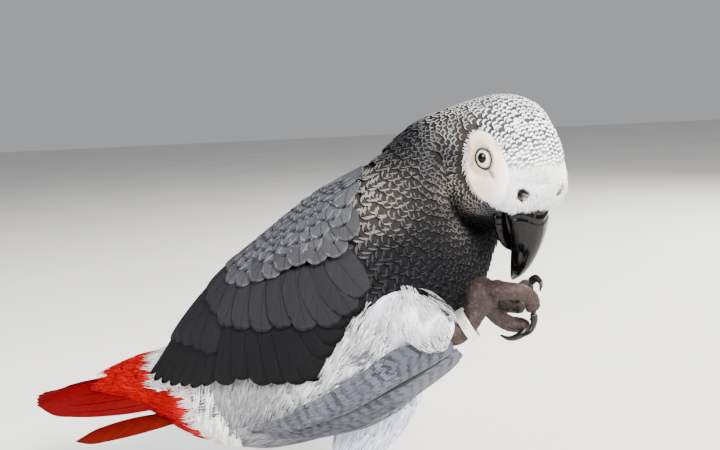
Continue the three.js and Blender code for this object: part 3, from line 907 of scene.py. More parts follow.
def lay(surface: Surface, coat: Coat, cut: VaneCut, rng: np.random.Generator, rim_side: float = 0.0) -> Shell:
    """Lay feathers along a surface.

    A point beside the shaft is found by moving across the surface. It stands off by
    rise s^2 - sink (1 - s) + dome (1 - t^2) + lean t, and the underside by thick less. The tip
    is drawn back by tip (1 - sqrt(1 - t^2)) s^3 widths, which rounds it.

    Args:
        surface: What they lie on.
        coat: The feathers.
        cut: Their outline.
        rng: Source of the small differences.
        rim_side: How far the fringe also runs along the sides.

    Returns:
        A shell of closed feathers.
    """
    count = coat.count()
    s, t, wide, low, row = cut.grid()
    a, b, way, beside = (x[:, row] for x in traced(surface, coat, cut.rows + 1))
    column = lambda value: value[:, None]  # noqa: E731
    across = column(coat.width) / 2 * wide * t
    back = -cut.tip * column(coat.width) * ((1 - np.sqrt(np.maximum(1 - t**2, 0))) * s**3)
    offset = across[..., None] * beside + back[..., None] * way
    pa, pb = surface.moved(a.ravel(), b.ravel(), offset.reshape(-1, 3))
    stand = (
        column(coat.rise) * s**2
        - column(coat.sink) * (1 - s)
        + column(coat.dome) * (1 - t**2) * np.minimum(1.0, 0.4 + s)
        + column(coat.lean) * t
        - column(coat.thick) * low
    )
    along = s * column(coat.length) + back
    seed = np.broadcast_to(column(rng.uniform(0, 400, count)), along.shape)
    rim = 0.5 + (s - 1 + column(coat.edge)) / 0.16 + rim_side * (np.abs(t) ** 3 - 0.6)
    shade = rng.normal(1.0, 0.06, count)[:, None]
    local = np.stack([(t + 1) / 2, s], -1) - 0.5
    return Shell(
        points=surface.raised(pa, pb, stand.ravel()),
        faces=stamped(cut.faces(), count, len(s)),
        flat=[False, True, True, True, True, True, True],
        maps={"OFBake": (coat.patch[:, None, :] + PATCH * local[None]).reshape(-1, 2)},
        tints={
            "centre": with_alpha(coat.centre * shade, rim, count, len(s)),
            "fringe": with_alpha(coat.fringe * shade, coat.bars[:, None], count, len(s)),
        },
        vectors={"barb": np.stack([along, np.abs(across), seed], -1).reshape(-1, 3)},
    )


def stamped(faces: list[Array], count: int, per: int) -> list[Array]:
    """Repeat one item's faces for many items of as many points each."""
    start = (np.arange(count) * per)[:, None, None]
    return [(f[None] + start).reshape(-1, f.shape[1]) for f in faces]


def spines(paths: Array, out: Array, width: Array, flat: float = 0.5) -> tuple[Array, list[Array]]:
    """Turn paths into closed three-sided spines that taper to their ends.

    Args:
        paths: Points (count, stations, 3).
        out: Direction of each spine's ridge, of the same shape.
        width: Width of each at its root.
        flat: Height of the ridge as a share of the half width.

    Returns:
        Points and faces.
    """
    count, stations = paths.shape[:2]
    share = np.linspace(0, 1, stations)[None, :, None]
    flank = unit(np.cross(out, unit(np.gradient(paths, axis=1))))
    half = np.maximum(width[:, None, None] / 2 * (1 - share) ** 0.6, 0.02)
    ring = np.stack([paths + half * flank, paths + half * flat * out, paths - half * flank], 2)
    around = grid_faces(stations, 3, wrap=True)
    caps = [np.array([[2, 1, 0]]), np.array([[0, 1, 2]]) + (stations - 1) * 3]
    return ring.reshape(-1, 3), stamped([around, *caps], count, stations * 3)


def barbs(
    surface: Surface,
    coat: Coat,
    per: int,
    rng: np.random.Generator,
    thick: float = 0.3,
    reach: float = 0.42,
    first: float = 0.25,
) -> Shell:
    """Lay the loose barbs of soft plumes along a surface.

    They start anywhere on the plume beyond its first share, run nearly along the shaft, fan out
    a little towards its sides, and end past its tip. Each is a three-sided spine.

    Args:
        surface: What they lie on.
        coat: The plumes.
        per: Barbs on each plume.
        rng: Source of the small differences.
        thick: Width of a barb.
        reach: Length of a barb over the plume's length.
        first: Share of the plume where they begin.

    Returns:
        A shell of closed spines.
    """
    rows, stations = 6, 3
    count = coat.count() * per
    pick = np.repeat(np.arange(coat.count()), per)
    share = first + (0.97 - first) * rng.uniform(0, 1, count) ** 0.8
    row = np.minimum((share * (rows - 1)).astype(int), rows - 2)
    part = (share * (rows - 1) - row)[:, None]
    a, b, way, beside = (x.reshape(coat.count(), rows, -1) for x in traced(surface, coat, rows))
    a, b, way, beside = (x[pick, row] * (1 - part) + x[pick, row + 1] * part for x in (a, b, way, beside))
    t = rng.uniform(-0.95, 0.95, count)
    width, long = coat.width[pick], coat.length[pick] * reach * rng.uniform(0.6, 1.15, count)
    k = np.linspace(0, 1, stations)
    turn = (np.radians(-5.0) * t + rng.normal(0, 0.06, count))[:, None]
    narrowed = np.where(share > 0.5, 1 - 0.9 * (share - 0.5), 1.0)
    gone = long[:, None] * k
    aside = (t * narrowed * width / 2 * 0.85)[:, None] + gone * np.sin(turn * (1 - 0.7 * k))
    offset = gone[..., None] * way[:, None] + aside[..., None] * beside[:, None]
    pa, pb = (np.repeat(x[:, 0], stations) for x in (a, b))
    for _ in range(3):
        pa, pb = surface.moved(pa, pb, offset.reshape(-1, 3) / 3)
    far = np.minimum(share[:, None] + gone / coat.length[pick][:, None], 1.0)
    stand = coat.rise[pick][:, None] * far**2 - coat.sink[pick][:, None] * (1 - far)
    stand = stand + coat.lean[pick][:, None] * t[:, None]
    stand = stand + coat.dome[pick][:, None] * (1 - t[:, None] ** 2) * np.minimum(1.0, 0.4 + far)
    stand = stand + 0.06 + 0.22 * k
    paths = surface.raised(pa, pb, stand.ravel()).reshape(count, stations, 3)
    out = np.broadcast_to(np.cross(way, beside)[:, None], paths.shape)
    points, faces = spines(paths, out, thick * rng.uniform(0.6, 1.4, count), 0.22)
    mix = rng.uniform(0.0, 1.0, count)[:, None]
    colour = coat.centre[pick] * (1 - mix) + coat.fringe[pick] * mix
    per_spine = stations * 3
    cell = np.stack([np.repeat(k, 3), np.full(per_spine, 0.5)], -1) - 0.5
    along = np.repeat((share[:, None] * coat.length[pick][:, None] + gone).ravel(), 3)
    barb = np.stack([along, np.full(len(points), 1.0), np.repeat(share * 90, per_spine)], -1)
    return Shell(
        points=points,
        faces=faces,
        maps={"OFBake": (coat.patch[pick][:, None, :] + PATCH * cell[None]).reshape(-1, 2)},
        tints={
            "centre": with_alpha(colour, np.zeros((count, 1)), count, per_spine),
            "fringe": with_alpha(colour, coat.bars[pick][:, None], count, per_spine),
        },
        vectors={"barb": barb},
    )


def flowing(pull: Callable[[Array, Array], Array], scatter: Optional[Array] = None) -> Way:
    """Make a direction rule from a pull in space, laid flat on the surface.

    Args:
        pull: Gives a vector from points and the surface's own rising direction.
        scatter: Degrees by which each feather is turned.

    Returns:
        A function from surface and parameters to unit directions.
    """

    def way(surface: Surface, a: Array, b: Array) -> Array:
        here, by_a, _, normal = surface.basis(a, b)
        line = pull(here, unit(by_a))
        line = unit(line - (line * normal).sum(-1, keepdims=True) * normal)
        if scatter is None:
            return line
        turn = np.radians(np.repeat(scatter, len(a) // len(scatter)))[:, None]
        return np.cos(turn) * line + np.sin(turn) * np.cross(normal, line)

    return way


def spread_over(
    surface: Surface, pitch: float, low: float, high: float, rng: np.random.Generator, loose: float = 0.2
) -> tuple[Array, Array]:
    """Stagger places over a surface, a pitch apart, in rows round it.

    Args:
        surface: What they lie on.
        pitch: Distance between neighbours.
        low: First share of the length.
        high: Last share of the length.
        rng: Source of the scatter.
        loose: Scatter as a share of the pitch.

    Returns:
        Shares of the length and degrees round.
    """
    lines = np.arange(0.0, 360.0, 4.0)
    found_a, found_b, at, row = [], [], low, 0
    while at < high:
        here, by_a, _, _ = surface.basis(np.full(90, at), lines)
        step = np.linalg.norm(np.roll(here, -1, 0) - here, axis=-1)
        count = max(3, int(step.sum() / pitch))
        where = (np.arange(count) + 0.5 * (row % 2)) / count * step.sum()
        found_b.append(np.interp(where, np.concatenate([[0.0], np.cumsum(step)]), np.append(lines, 360.0)))
        found_a.append(np.full(count, at))
        at += pitch * 0.87 / np.linalg.norm(by_a, axis=-1).mean()
        row += 1
    a, b = np.concatenate(found_a), np.concatenate(found_b)
    _, by_a, by_b, _ = surface.basis(a, b)
    a = a + rng.normal(0, loose * pitch, len(a)) / np.maximum(np.linalg.norm(by_a, axis=-1), 1.0)
    b = b + rng.normal(0, loose * pitch, len(b)) / np.maximum(np.linalg.norm(by_b, axis=-1), 0.05)
    return np.clip(a, low * 0.5, 1 - (1 - high) * 0.5), b


# ---- Finishes -----------------------------------------------------------------------------
Socket = bpy.types.NodeSocket


@dataclass
class Graph:
    """A material being built."""

    name: str
    material: bpy.types.Material = field(init=False)

    def __post_init__(self) -> None:
        """Start with an empty tree, its output and its surface shader."""
        self.material = bpy.data.materials.new(self.name)
        self.material.use_nodes = True
        self.tree = self.material.node_tree
        self.tree.nodes.clear()
        self.shader = self.add("ShaderNodeBsdfPrincipled")
        out = self.add("ShaderNodeOutputMaterial")
        self.tree.links.new(self.shader.outputs[0], out.inputs["Surface"])

    def add(self, kind: str, settings: Optional[dict] = None, **inputs: object) -> bpy.types.Node:
        """Add a node with its settings and links.

        Args:
            kind: The node's type.
            settings: Properties of the node.
            inputs: Values or sockets by input name, with _ for a space, or i0, i1 by number.

        Returns:
            The node.
        """
        node = self.tree.nodes.new(kind)
        for key, value in (settings or {}).items():
            setattr(node, key, value)
        for key, value in inputs.items():
            number = key[1:]
            numbered = key[0] == "i" and number.isdigit()
            socket = node.inputs[int(number) if numbered else key.replace("_", " ")]
            if isinstance(value, bpy.types.NodeSocket):
                self.tree.links.new(value, socket)
            else:
                socket.default_value = value
        return node

    def mix(self, factor: object, low: object, high: object, blend: str = "MIX") -> Socket:
        """Mix two colours and give the result's socket."""
        node = self.add("ShaderNodeMix", {"data_type": "RGBA", "blend_type": blend})
        for socket, value in ((node.inputs[0], factor), (node.inputs[6], low), (node.inputs[7], high)):
            if isinstance(value, bpy.types.NodeSocket):
                self.tree.links.new(value, socket)
            elif isinstance(value, str):
                socket.default_value = (*linear(value), 1.0)
            else:
                socket.default_value = value
        return node.outputs[2]

    def maths(self, kind: str, first: object, second: object = 0.0, clamp: bool = False) -> Socket:
        """Combine two numbers and give the result's socket."""
        node = self.add("ShaderNodeMath", {"operation": kind, "use_clamp": clamp}, i0=first, i1=second)
        return node.outputs[0]

    def span(
        self, value: Socket, low: float, high: float, to_low: float = 0.0, to_high: float = 1.0
    ) -> Socket:
        """Map a range of a number smoothly to another and give its socket."""
        node = self.add(
            "ShaderNodeMapRange",
            {"interpolation_type": "SMOOTHSTEP"},
            Value=value,
            i1=low,
            i2=high,
            i3=to_low,
            i4=to_high,
        )
        return node.outputs[0]

    def noise(self, vector: Socket, per_mm: float, detail: float = 2.0, rough: float = 0.5) -> Socket:
        """Noise with the given number of swells in a millimetre, for a vector in metres."""
        node = self.add(
            "ShaderNodeTexNoise", {}, Vector=vector, Scale=per_mm / MM, Detail=detail, Roughness=rough
        )
        return node.outputs["Fac"]

    def place(self) -> Socket:
        """Object coordinates."""
        return self.add("ShaderNodeTexCoord").outputs["Object"]

    def finish(self, **values: object) -> bpy.types.Material:
        """Set or link the shader's inputs and give the material."""
        for key, value in values.items():
            socket = self.shader.inputs[key.replace("_", " ")]
            if isinstance(value, bpy.types.NodeSocket):
                self.tree.links.new(value, socket)
            elif isinstance(value, str):
                socket.default_value = (*linear(value), 1.0)
            else:
                socket.default_value = value
        return self.material


@dataclass(frozen=True)
class Plumage:
    """Feather keratin: matt vanes of fine barbs, with a faint silky sheen along them.

    The vane's middle and fringe are two tints that the feathers carry. The barbs leave the shaft
    at about 30 degrees; streaks 0.7 mm wide follow them, with painted shade in their grooves and
    painted light on their ridges, and a thin shaft shows in the middle.
    """

    name: str
    barb_shade: float = 0.25
    roughness: float = 0.8
    sheen: float = 0.0
    shaft: float = 0.0
    gloss: float = 0.06

    def make(self) -> bpy.types.Material:
        """Build the material."""
        g = Graph(self.name)
        centre = g.add("ShaderNodeAttribute", {"attribute_name": "centre"})
        fringe = g.add("ShaderNodeAttribute", {"attribute_name": "fringe"})
        barb = g.add("ShaderNodeAttribute", {"attribute_name": "barb"})
        split = g.add("ShaderNodeSeparateXYZ", {}, Vector=barb.outputs["Vector"])
        along, aside, seed = split.outputs
        line = g.maths("SUBTRACT", along, g.maths("MULTIPLY", aside, 1.7))
        streaks = g.add(
            "ShaderNodeCombineXYZ", {}, X=line, Y=g.maths("MULTIPLY", aside, 0.15), Z=seed
        ).outputs[0]
        streak = g.add(
            "ShaderNodeTexNoise", {}, Vector=streaks, Scale=1.3, Detail=2.0, Roughness=0.6
        ).outputs["Fac"]
        fine = g.noise(g.place(), 0.7, 3.0)
        rim = g.maths(
            "ADD", centre.outputs["Alpha"], g.maths("MULTIPLY", g.maths("SUBTRACT", fine, 0.5), 0.35)
        )
        rim = g.maths("ADD", rim, g.maths("MULTIPLY", g.maths("SUBTRACT", streak, 0.5), 0.3))
        colour = g.mix(g.span(rim, 0.2, 0.8), centre.outputs["Color"], fringe.outputs["Color"])
        across = g.maths("SUBTRACT", along, g.maths("MULTIPLY", aside, 0.9))
        wave = g.maths(
            "SINE", g.maths("ADD", g.maths("MULTIPLY", across, 1.2), g.maths("MULTIPLY", fine, 6.0))
        )
        patchy = g.span(g.noise(g.place(), 0.13, 2.0), 0.35, 0.62, 0.45, 1.0)
        bars = g.maths(
            "MULTIPLY", g.maths("MULTIPLY", g.span(wave, -0.1, 0.7), fringe.outputs["Alpha"]), patchy
        )
        colour = g.mix(bars, colour, "#0c0d10")
        shaft = g.maths("MULTIPLY", g.span(aside, 0.45, 0.2), self.shaft)
        colour = g.mix(shaft, colour, "#101011")
        # painted shade and painted light: the colour darkens in the barbs' grooves and lightens on their
        # ridges, following the bump's height
        depth = g.span(streak, 0.3, 0.7, 1.0 - self.barb_shade, 1.0 + self.barb_shade * 0.6)
        grey = g.add("ShaderNodeCombineColor", {}, i0=depth, i1=depth, i2=depth).outputs[0]
        colour = g.mix(1.0, colour, grey, "MULTIPLY")
        bump = g.add("ShaderNodeBump", {}, Strength=0.35, Distance=0.15 * MM, Height=streak)
        return g.finish(
            Base_Color=colour,
            Roughness=self.roughness,
            Normal=bump.outputs[0],
            Specular_IOR_Level=self.gloss,
            Sheen_Weight=self.sheen,
            Sheen_Roughness=0.5,
        )


@dataclass(frozen=True)
class BareSkin:
    """Bare facial skin: white with a faint warmth, finely pitted, with a soft matt glow."""

    name: str = "bare_face_skin"

    def make(self) -> bpy.types.Material:
        """Build the material from the skin's own tint."""
        g = Graph(self.name)
        tint = g.add("ShaderNodeAttribute", {"attribute_name": "tint"})
        place = g.place()
        pores = g.noise(place, 1.6, 3.0, 0.6)
        blotch = g.noise(place, 0.16, 3.0)
        bare = tint.outputs["Alpha"]
        colour = g.mix(
            g.maths("MULTIPLY", g.span(blotch, 0.35, 0.75, 0.0, 0.28), bare), tint.outputs["Color"],
            "#d9c6ba"
        )
        colour = g.mix(g.maths("MULTIPLY", g.span(pores, 0.58, 0.78, 0.0, 0.25), bare), colour, "#a39488")
        bump = g.add("ShaderNodeBump", {}, Strength=0.5, Distance=0.12 * MM, Height=pores)
        return g.finish(Base_Color=colour, Roughness=0.62, Normal=bump.outputs[0])


@dataclass(frozen=True)
class LegSkin:
    """Scaly leg skin: dry grey-brown scutes with pale dusty rims, and painted shade in the creases between
    them.
    """

    name: str = "scaly_leg_skin"

    def make(self) -> bpy.types.Material:
        """Build the material; the scales' height is carried by the mesh."""
        g = Graph(self.name)
        tint = g.add("ShaderNodeAttribute", {"attribute_name": "tint"})
        place = g.place()
        dust = g.noise(place, 0.8, 4.0, 0.65)
        height = tint.outputs["Alpha"]
        # painted shade: the creases between the scales are darkened by the scales' height
        colour = g.mix(g.span(height, 0.0, 0.6), "#150b08", tint.outputs["Color"])
        colour = g.mix(g.span(dust, 0.45, 0.75, 0.0, 0.35), colour, "#56463e")
        bump = g.add("ShaderNodeBump", {}, Strength=0.5, Distance=0.15 * MM, Height=dust)
        return g.finish(Base_Color=colour, Roughness=0.66, Specular_IOR_Level=0.3, Normal=bump.outputs[0])


@dataclass(frozen=True)
class Horn:
    """Horny sheath of bill or claw: near-black keratin, polished by use, with scuffs and flakes."""

    name: str
    base: str
    worn: str
    roughness: float
    gloss: float

    def make(self) -> bpy.types.Material:
        """Build the material."""
        g = Graph(self.name)
        place = g.place()
        stretched = g.add("ShaderNodeMapping", {}, Vector=place, Scale=(1.0, 1.0, 0.35)).outputs[0]
        scuff = g.noise(stretched, 0.7, 5.0, 0.65)
        cloud = g.noise(place, 0.12, 3.0)
        worn = g.maths("MULTIPLY", g.span(scuff, 0.55, 0.72), g.span(cloud, 0.4, 0.6), clamp=True)
        colour = g.mix(g.maths("MULTIPLY", worn, 0.55), self.base, self.worn)
        rough = g.span(scuff, 0.35, 0.75, self.roughness - 0.06, self.roughness + 0.22)
        bump = g.add("ShaderNodeBump", {}, Strength=0.25, Distance=0.1 * MM, Height=scuff)
        return g.finish(
            Base_Color=colour, Roughness=rough, Specular_IOR_Level=self.gloss, Normal=bump.outputs[0]
        )


@dataclass(frozen=True)
class EyeSurface:
    """The eye: black pupil, pale straw iris with fine spokes, under a wet clear cornea."""

    name: str = "wet_eye"
    pupil: float = 2.15
    iris: float = 4.5

    def make(self) -> bpy.types.Material:
        """Build the material from the eye's own map, whose first axis is the radius in mm / 10."""
        g = Graph(self.name)
        uv = g.add("ShaderNodeUVMap", {"uv_map": "Iris"})
        split = g.add("ShaderNodeSeparateXYZ", {}, Vector=uv.outputs[0])
        radius = g.maths("MULTIPLY", split.outputs[0], 10.0)
        spokes = g.add("ShaderNodeTexNoise", {}, Vector=uv.outputs[0], Scale=34.0, Detail=3.0)
        iris = g.mix(g.span(spokes.outputs["Fac"], 0.35, 0.65), "#cfc7a6", "#f0ead2")
        iris = g.mix(g.span(radius, self.pupil, self.pupil + 0.7, 0.55, 0.0), iris, "#8f8a76")
        iris = g.mix(g.span(radius, self.iris - 0.55, self.iris), iris, "#1c1815")
        colour = g.mix(g.span(radius, self.pupil - 0.12, self.pupil + 0.12), "#010101", iris)
        return g.finish(
            Base_Color=colour, Roughness=0.08, Specular_IOR_Level=0.12, Coat_Weight=0.15,
            Coat_Roughness=0.02
        )


@dataclass(frozen=True)
class Tongue:
    """Moist dark tongue skin, finely grained."""

    name: str = "moist_tongue_skin"

    def make(self) -> bpy.types.Material:
        """Build the material."""
        g = Graph(self.name)
        grain = g.noise(g.place(), 1.2, 3.0)
        bump = g.add("ShaderNodeBump", {}, Strength=0.4, Distance=0.1 * MM, Height=grain)
        colour = g.mix(g.span(grain, 0.4, 0.7), "#2d2427", "#4c3c40")
        return g.finish(Base_Color=colour, Roughness=0.38, Normal=bump.outputs[0])


@dataclass(frozen=True)
class RingMetal:
    """Anodised aluminium of a leg ring: silvery, rolled, dulled by fine scratches."""

    name: str = "aluminium_leg_ring"

    def make(self) -> bpy.types.Material:
        """Build the material."""
        g = Graph(self.name)
        fine = g.noise(g.place(), 2.5, 4.0, 0.7)
        cloud = g.noise(g.place(), 0.25, 2.0)
        colour = g.mix(g.span(cloud, 0.35, 0.7), "#e9e6dd", "#c9c4bb")
        rough = g.span(fine, 0.3, 0.7, 0.32, 0.5)
        bump = g.add("ShaderNodeBump", {}, Strength=0.15, Distance=0.05 * MM, Height=fine)
        return g.finish(Base_Color=colour, Metallic=0.85, Roughness=rough, Normal=bump.outputs[0])


@dataclass(frozen=True)
class Floor:
    """Matt pale studio floor."""

    name: str = "matt_studio_floor"

    def make(self) -> bpy.types.Material:
        """Build the material."""
        g = Graph(self.name)
        colour = g.mix(g.span(g.noise(g.place(), 0.004, 2.0), 0.3, 0.7), "#dcdad6", "#e2e0dc")
        return g.finish(Base_Color=colour, Roughness=0.9)


# ---- Skin ---------------------------------------------------------------------------------
def crowded(count: int, peaks: tuple[tuple[float, float, float], ...], low: float, high: float) -> Array:
    """Values from low to high that lie closer together near peaks.

    Args:
        count: How many.
        peaks: (middle, width, how many times closer) for each peak.
        low: The first value.
        high: The last value.

    Returns:
        Rising values.
    """
    fine = np.linspace(low, high, 4001)
    density = 1.0 + sum(times * hump(fine, middle, width) for middle, width, times in peaks)
    gone = np.concatenate([[0.0], np.cumsum((density[1:] + density[:-1]) / 2)])
    return np.interp(np.linspace(0, gone[-1], count), gone, fine)


@dataclass
class Skin:
    """One skin under the coat, with the bare face, the lids and the scaly legs and feet."""

    around: int = 220
    along: int = 180
    leg_voxel: float = 0.46

    def coat_depth(self, points: Array) -> Array:
        """How deep the skin lies under the coat's surface: thin on the head, thick below."""
        head = in_head(points)
        behind = smoothstep(8.0, -60.0, head[:, 0])
        depth = 0.9 + 3.6 * behind
        low = smoothstep(120.0, 70.0, points[:, 2]) * smoothstep(60.0, 30.0, points[:, 0])
        depth = depth + 2.5 * low
        return depth * (1 - bareness(head, 0.4, 1.8))

    def lid_radius(self, head: Array) -> Array:
        """Distance from the middle of the eye's opening, 1 on its edge, and 9 off the cheeks."""
        f, u, wide, high = EYE_OPENING
        away = np.hypot((head[:, 0] - f) / wide, (head[:, 2] - u) / high)
        return np.where(np.abs(head[:, 1]) > 8.0, away, 9.0)

    def face_relief(self, points: Array) -> Array:
        """Height of the folds, nostrils and cere over the plain face.

        Folds are narrow valleys along straight lines; the nostril is a round pit with a swollen
        edge, in a shallow hollow between eye and bill.

        Args:
            points: Places on the head.

        Returns:
            Millimetres outwards.
        """
        head = in_head(points)
        f, side, u = head[:, 0], np.abs(head[:, 1]), head[:, 2]
        folds = np.zeros_like(f)
        for start, end, deep, width, _ in FOLDS:
            folds -= deep * along_fold(head, start, end, width)
        hole = nostril_distance(head)
        pits = -0.7 * hump(hole, 0.0, 4.6) - 2.8 * smoothstep(2.1, 1.5, hole) + 0.35 * hump(hole, 2.5, 0.5)
        bare = bareness(head, 1.5, 2.0)
        pebbles = 0.04 * np.sin(f * 5.1 + np.sin(u * 3.3)) * np.sin(u * 4.7 + np.sin(f * 2.9)) * bare
        return smoothstep(8.0, 12.0, side) * folds + pits + pebbles

    def lidded(self, points: Array) -> Array:
        """Draw the skin round each eye onto the eyeball, with a lid's rim and an open slit.

        Near the eye the skin lies half a millimetre over the ball, rises to a thin bead at the
        opening's edge, and drops behind the ball's face inside it.

        Args:
            points: The skin's points.

        Returns:
            The moved points.
        """
        head = in_head(points)
        side = np.abs(head[:, 1])
        off = np.hypot(head[:, 0], head[:, 2])
        ball = EYE_ASIDE + np.sqrt((EYE_R + 0.5) ** 2 - np.minimum(off, 5.0) ** 2)
        near = smoothstep(10.5, 5.2, off) * smoothstep(8.0, 12.0, side)
        r = self.lid_radius(head) * 4.6
        lids = -3.4 * smoothstep(4.65, 4.2, r) + 0.3 * hump(r, 4.95, 0.36)
        lids += -0.22 * hump(r, 5.9, 0.4) + 0.2 * hump(r, 6.9, 0.7) - 0.16 * hump(r, 8.2, 0.5)
        out = (ball - side) * near + lids
        return points + (np.sign(head[:, 1]) * out * (r < 30))[:, None] * HEAD_LEFT

    def form(self) -> Shell:
        """Build the body's skin as rings crowded round the eyes."""
        v = crowded(self.around + 1, ((14.8, 12.0, 2.4), (165.2, 12.0, 2.4)), -90.0, 270.0)[:-1]
        u = crowded(self.along, ((0.915, 0.035, 5.0), (0.985, 0.02, 2.5)), 0.0, 1.0)
        grid_u, grid_v = np.meshgrid(u, v, indexing="ij")
        outer = BODY.point(grid_u, grid_v).reshape(-1, 3)
        grow = self.face_relief(outer) - self.coat_depth(outer)
        radii = smooth_rows(BODY.keys, BODY.rows, grid_u.ravel())[:, 5:8].min(-1)
        grow = np.maximum(grow, -0.8 * radii)
        rings = BODY.raised(grid_u, grid_v, grow.reshape(grid_u.shape))
        shell = capped(rings)
        shell.points = self.lidded(shell.points)
        return shell

    def skin_tint(self, points: Array) -> Array:
        """Colours of the skin: white bare face, dark lid rims, painted shade in nostril pits and creases,
        plumage elsewhere.
        """
        head = in_head(points)
        bare = bareness(head, 1.0, 2.4)
        centre, fringe = markings_at(points)
        under = 0.55 * centre + 0.2 * fringe
        plumed = smoothstep(112.0, 96.0, points[:, 2]) * smoothstep(44.0, 30.0, points[:, 0])
        plumed = plumed[:, None]
        under = under * (1 - plumed) + linear("#a9aaad") * plumed
        forehead = smoothstep(11.0, 15.0, head[:, 0]) * smoothstep(9.0, 3.0, head[:, 2])
        white = np.maximum(bare, forehead)[:, None]
        low = smoothstep(2.0, -14.0, head[:, 2])[:, None]
        face = linear("#dec5ac") * (1 - low) + linear("#f0d3b7") * low
        front = smoothstep(6.0, 16.0, head[:, 0])[:, None]
        face = face * (1 - front) + linear("#f6f0ee") * front
        colour = under * (1 - white) + face * white
        r = self.lid_radius(head) * 4.6
        # the lid rims are dark skin; the nostril pits are darkened as painted shade
        dark = np.maximum(smoothstep(6.0, 5.5, r), smoothstep(3.5, 3.1, nostril_distance(head)))[:, None]
        colour = colour * (1 - dark) + linear("#070505") * dark
        # painted shade: the folds and the creases round each lid are darkened
        shade_in_creases = 0.35 * hump(r, 6.4, 0.45) + 0.2 * hump(r, 8.2, 0.5)
        for start, end, _, width, crease_shade in FOLDS:
            shade_in_creases = np.maximum(shade_in_creases, crease_shade * along_fold(head, start, end, width * 1.2))
        shade_in_creases = (shade_in_creases * (1 - dark[:, 0]))[:, None]
        return colour * (1 - shade_in_creases) + linear("#54483e") * shade_in_creases


# ---- Legs ---------------------------------------------------------------------------------
RAISED_THIGH = Tube(
    (
        (-52, -12, 78, 9, 10), (-22, -19, 86, 19, 24), (8, -24, 98, 20, 25), (28, -30, 111, 17, 21),
        (44, -37.5, 124, 13.5, 16), (55, -40, 122.5, 11, 10.5), (63, -37.5, 121, 7.5, 7.5),
    )
)  # fmt: skip
STANDING_THIGH = Tube(
    (
        (6, 14, 104, 10, 10), (14, 17, 88, 20, 22), (12, 15, 68, 18, 21), (5, 10, 50, 12.5, 14),
        (-1, 7, 40, 8, 9), (-4, 6, 35, 5.5, 5.5),
    ),
    up=(1.0, 0.0, 0.0),
)  # fmt: skip
RAISED_SHANK: tuple[Row, ...] = (
    (57, -38.5, 121, 5, 5), (62.5, -36.8, 118.8, 5.3, 5.3), (67.4, -33.3, 121.2, 4.5, 4.5),
    (71.2, -30, 127, 4.8, 4.8), (75, -27, 133.5, 7.8, 6.6), (79.5, -24.5, 135, 6, 5),
)  # fmt: skip
STANDING_SHANK: tuple[Row, ...] = (
    (-3, 6.5, 41, 4.5, 4.5), (-5, 6, 33, 5.4, 5.6), (-4, 4.5, 24, 4.9, 4.9), (-2, 2, 14, 5.4, 5.4),
    (0, 0, 6, 7.6, 7.6), (0.5, 0, -5, 6.5, 7),
)  # fmt: skip
RAISED_TOES: tuple[tuple[Row, ...], ...] = (
    ((76, -28, 136), (82, -32.5, 136), (89.5, -31.5, 135.5), (93.5, -27, 131.5), (94, -24.5, 126)),
    ((77, -23, 135), (83, -17, 132.5), (88.5, -17.5, 132.5), (92.5, -20.5, 136.5)),
    ((75.5, -26, 129), (79.5, -23.5, 122.5), (84.5, -20, 118.5), (89, -20, 118), (91, -22.5, 117.5)),
    ((77, -22, 130), (81, -16.5, 126), (85.5, -13.5, 125), (90, -15, 124.5)),
)
STANDING_TOES: tuple[tuple[Row, ...], ...] = (
    ((4, 2, 3.8), (14, 5, 3.2), (24, 8.5, 3), (33, 11, 2.7)),
    ((4, -3, 3.8), (10, -8, 3.2), (16, -12.5, 3), (21, -16, 2.7)),
    ((-4, 3, 3.8), (-13, 8.5, 3.2), (-22, 13, 3), (-30, 16.5, 2.7)),
    ((-3, -4, 3.8), (-8, -8.5, 3.2), (-12, -12.5, 3), (-15.5, -15.5, 2.7)),
)
RAISED_CLAWS: tuple[tuple[Row, ...], ...] = (
    ((94.2, -24.2, 125), (94.3, -24.5, 121), (92.6, -25.5, 117), (89.5, -27, 115.2)),
    ((92.8, -20.8, 137), (95.4, -22.8, 139.2), (97.4, -25.6, 138), (97.2, -27.3, 134.8)),
    ((91, -23, 117.2), (88.5, -24.9, 115.2), (84, -25.6, 113.8), (80.3, -25.6, 115.2)),
    ((90.6, -15.4, 124.4), (93.2, -17.4, 124.2), (93.8, -20, 122.6), (92.4, -21.8, 120.8)),
)
TOE_R = 3.6
CLAW_R = 1.9
TOE_BUMPS = (1.15, 1.0, 0.96, 0.9, 0.86)
CLAW_TAPER = (1.0, 0.85, 0.55, 0.22)
FLOOR_CLAW: tuple[Row, ...] = ((-1, 3.2), (3.5, 4.2), (8.5, 3.2), (11.5, 0.7))


def toe_tube(points: tuple[Row, ...]) -> Tube:
    """A toe along points, thick at the pad and slimmer to its end."""
    return Tube(tuple((*p, TOE_R * k, TOE_R * k) for p, k in zip(points, TOE_BUMPS)))


def claw_tube(points: tuple[Row, ...]) -> Tube:
    """A claw along points, tapering to its point."""
    return Tube(tuple((*p, CLAW_R * k * 0.85, CLAW_R * k) for p, k in zip(points, CLAW_TAPER)))


def floor_claw(points: tuple[Row, ...]) -> tuple[Row, ...]:
    """A claw's path that carries on from a toe on the floor and curves down towards it."""
    end, before = np.array(points[-1], float), np.array(points[-2], float)
    way = unit((end - before) * np.array([1.0, 1.0, 0.0]))
    return tuple((end[0] + way[0] * go, end[1] + way[1] * go, height) for go, height in FLOOR_CLAW)


def tube_shell(tube: Tube, rings: int, around: int) -> Shell:
    """A closed shell of a tube, with rings closer together at its ends."""
    share = (1 - np.cos(np.linspace(0, np.pi, rings))) / 2
    angle = np.arange(around) * 360.0 / around
    grid = np.meshgrid(share, angle, indexing="ij")
    return capped(tube.point(*grid))


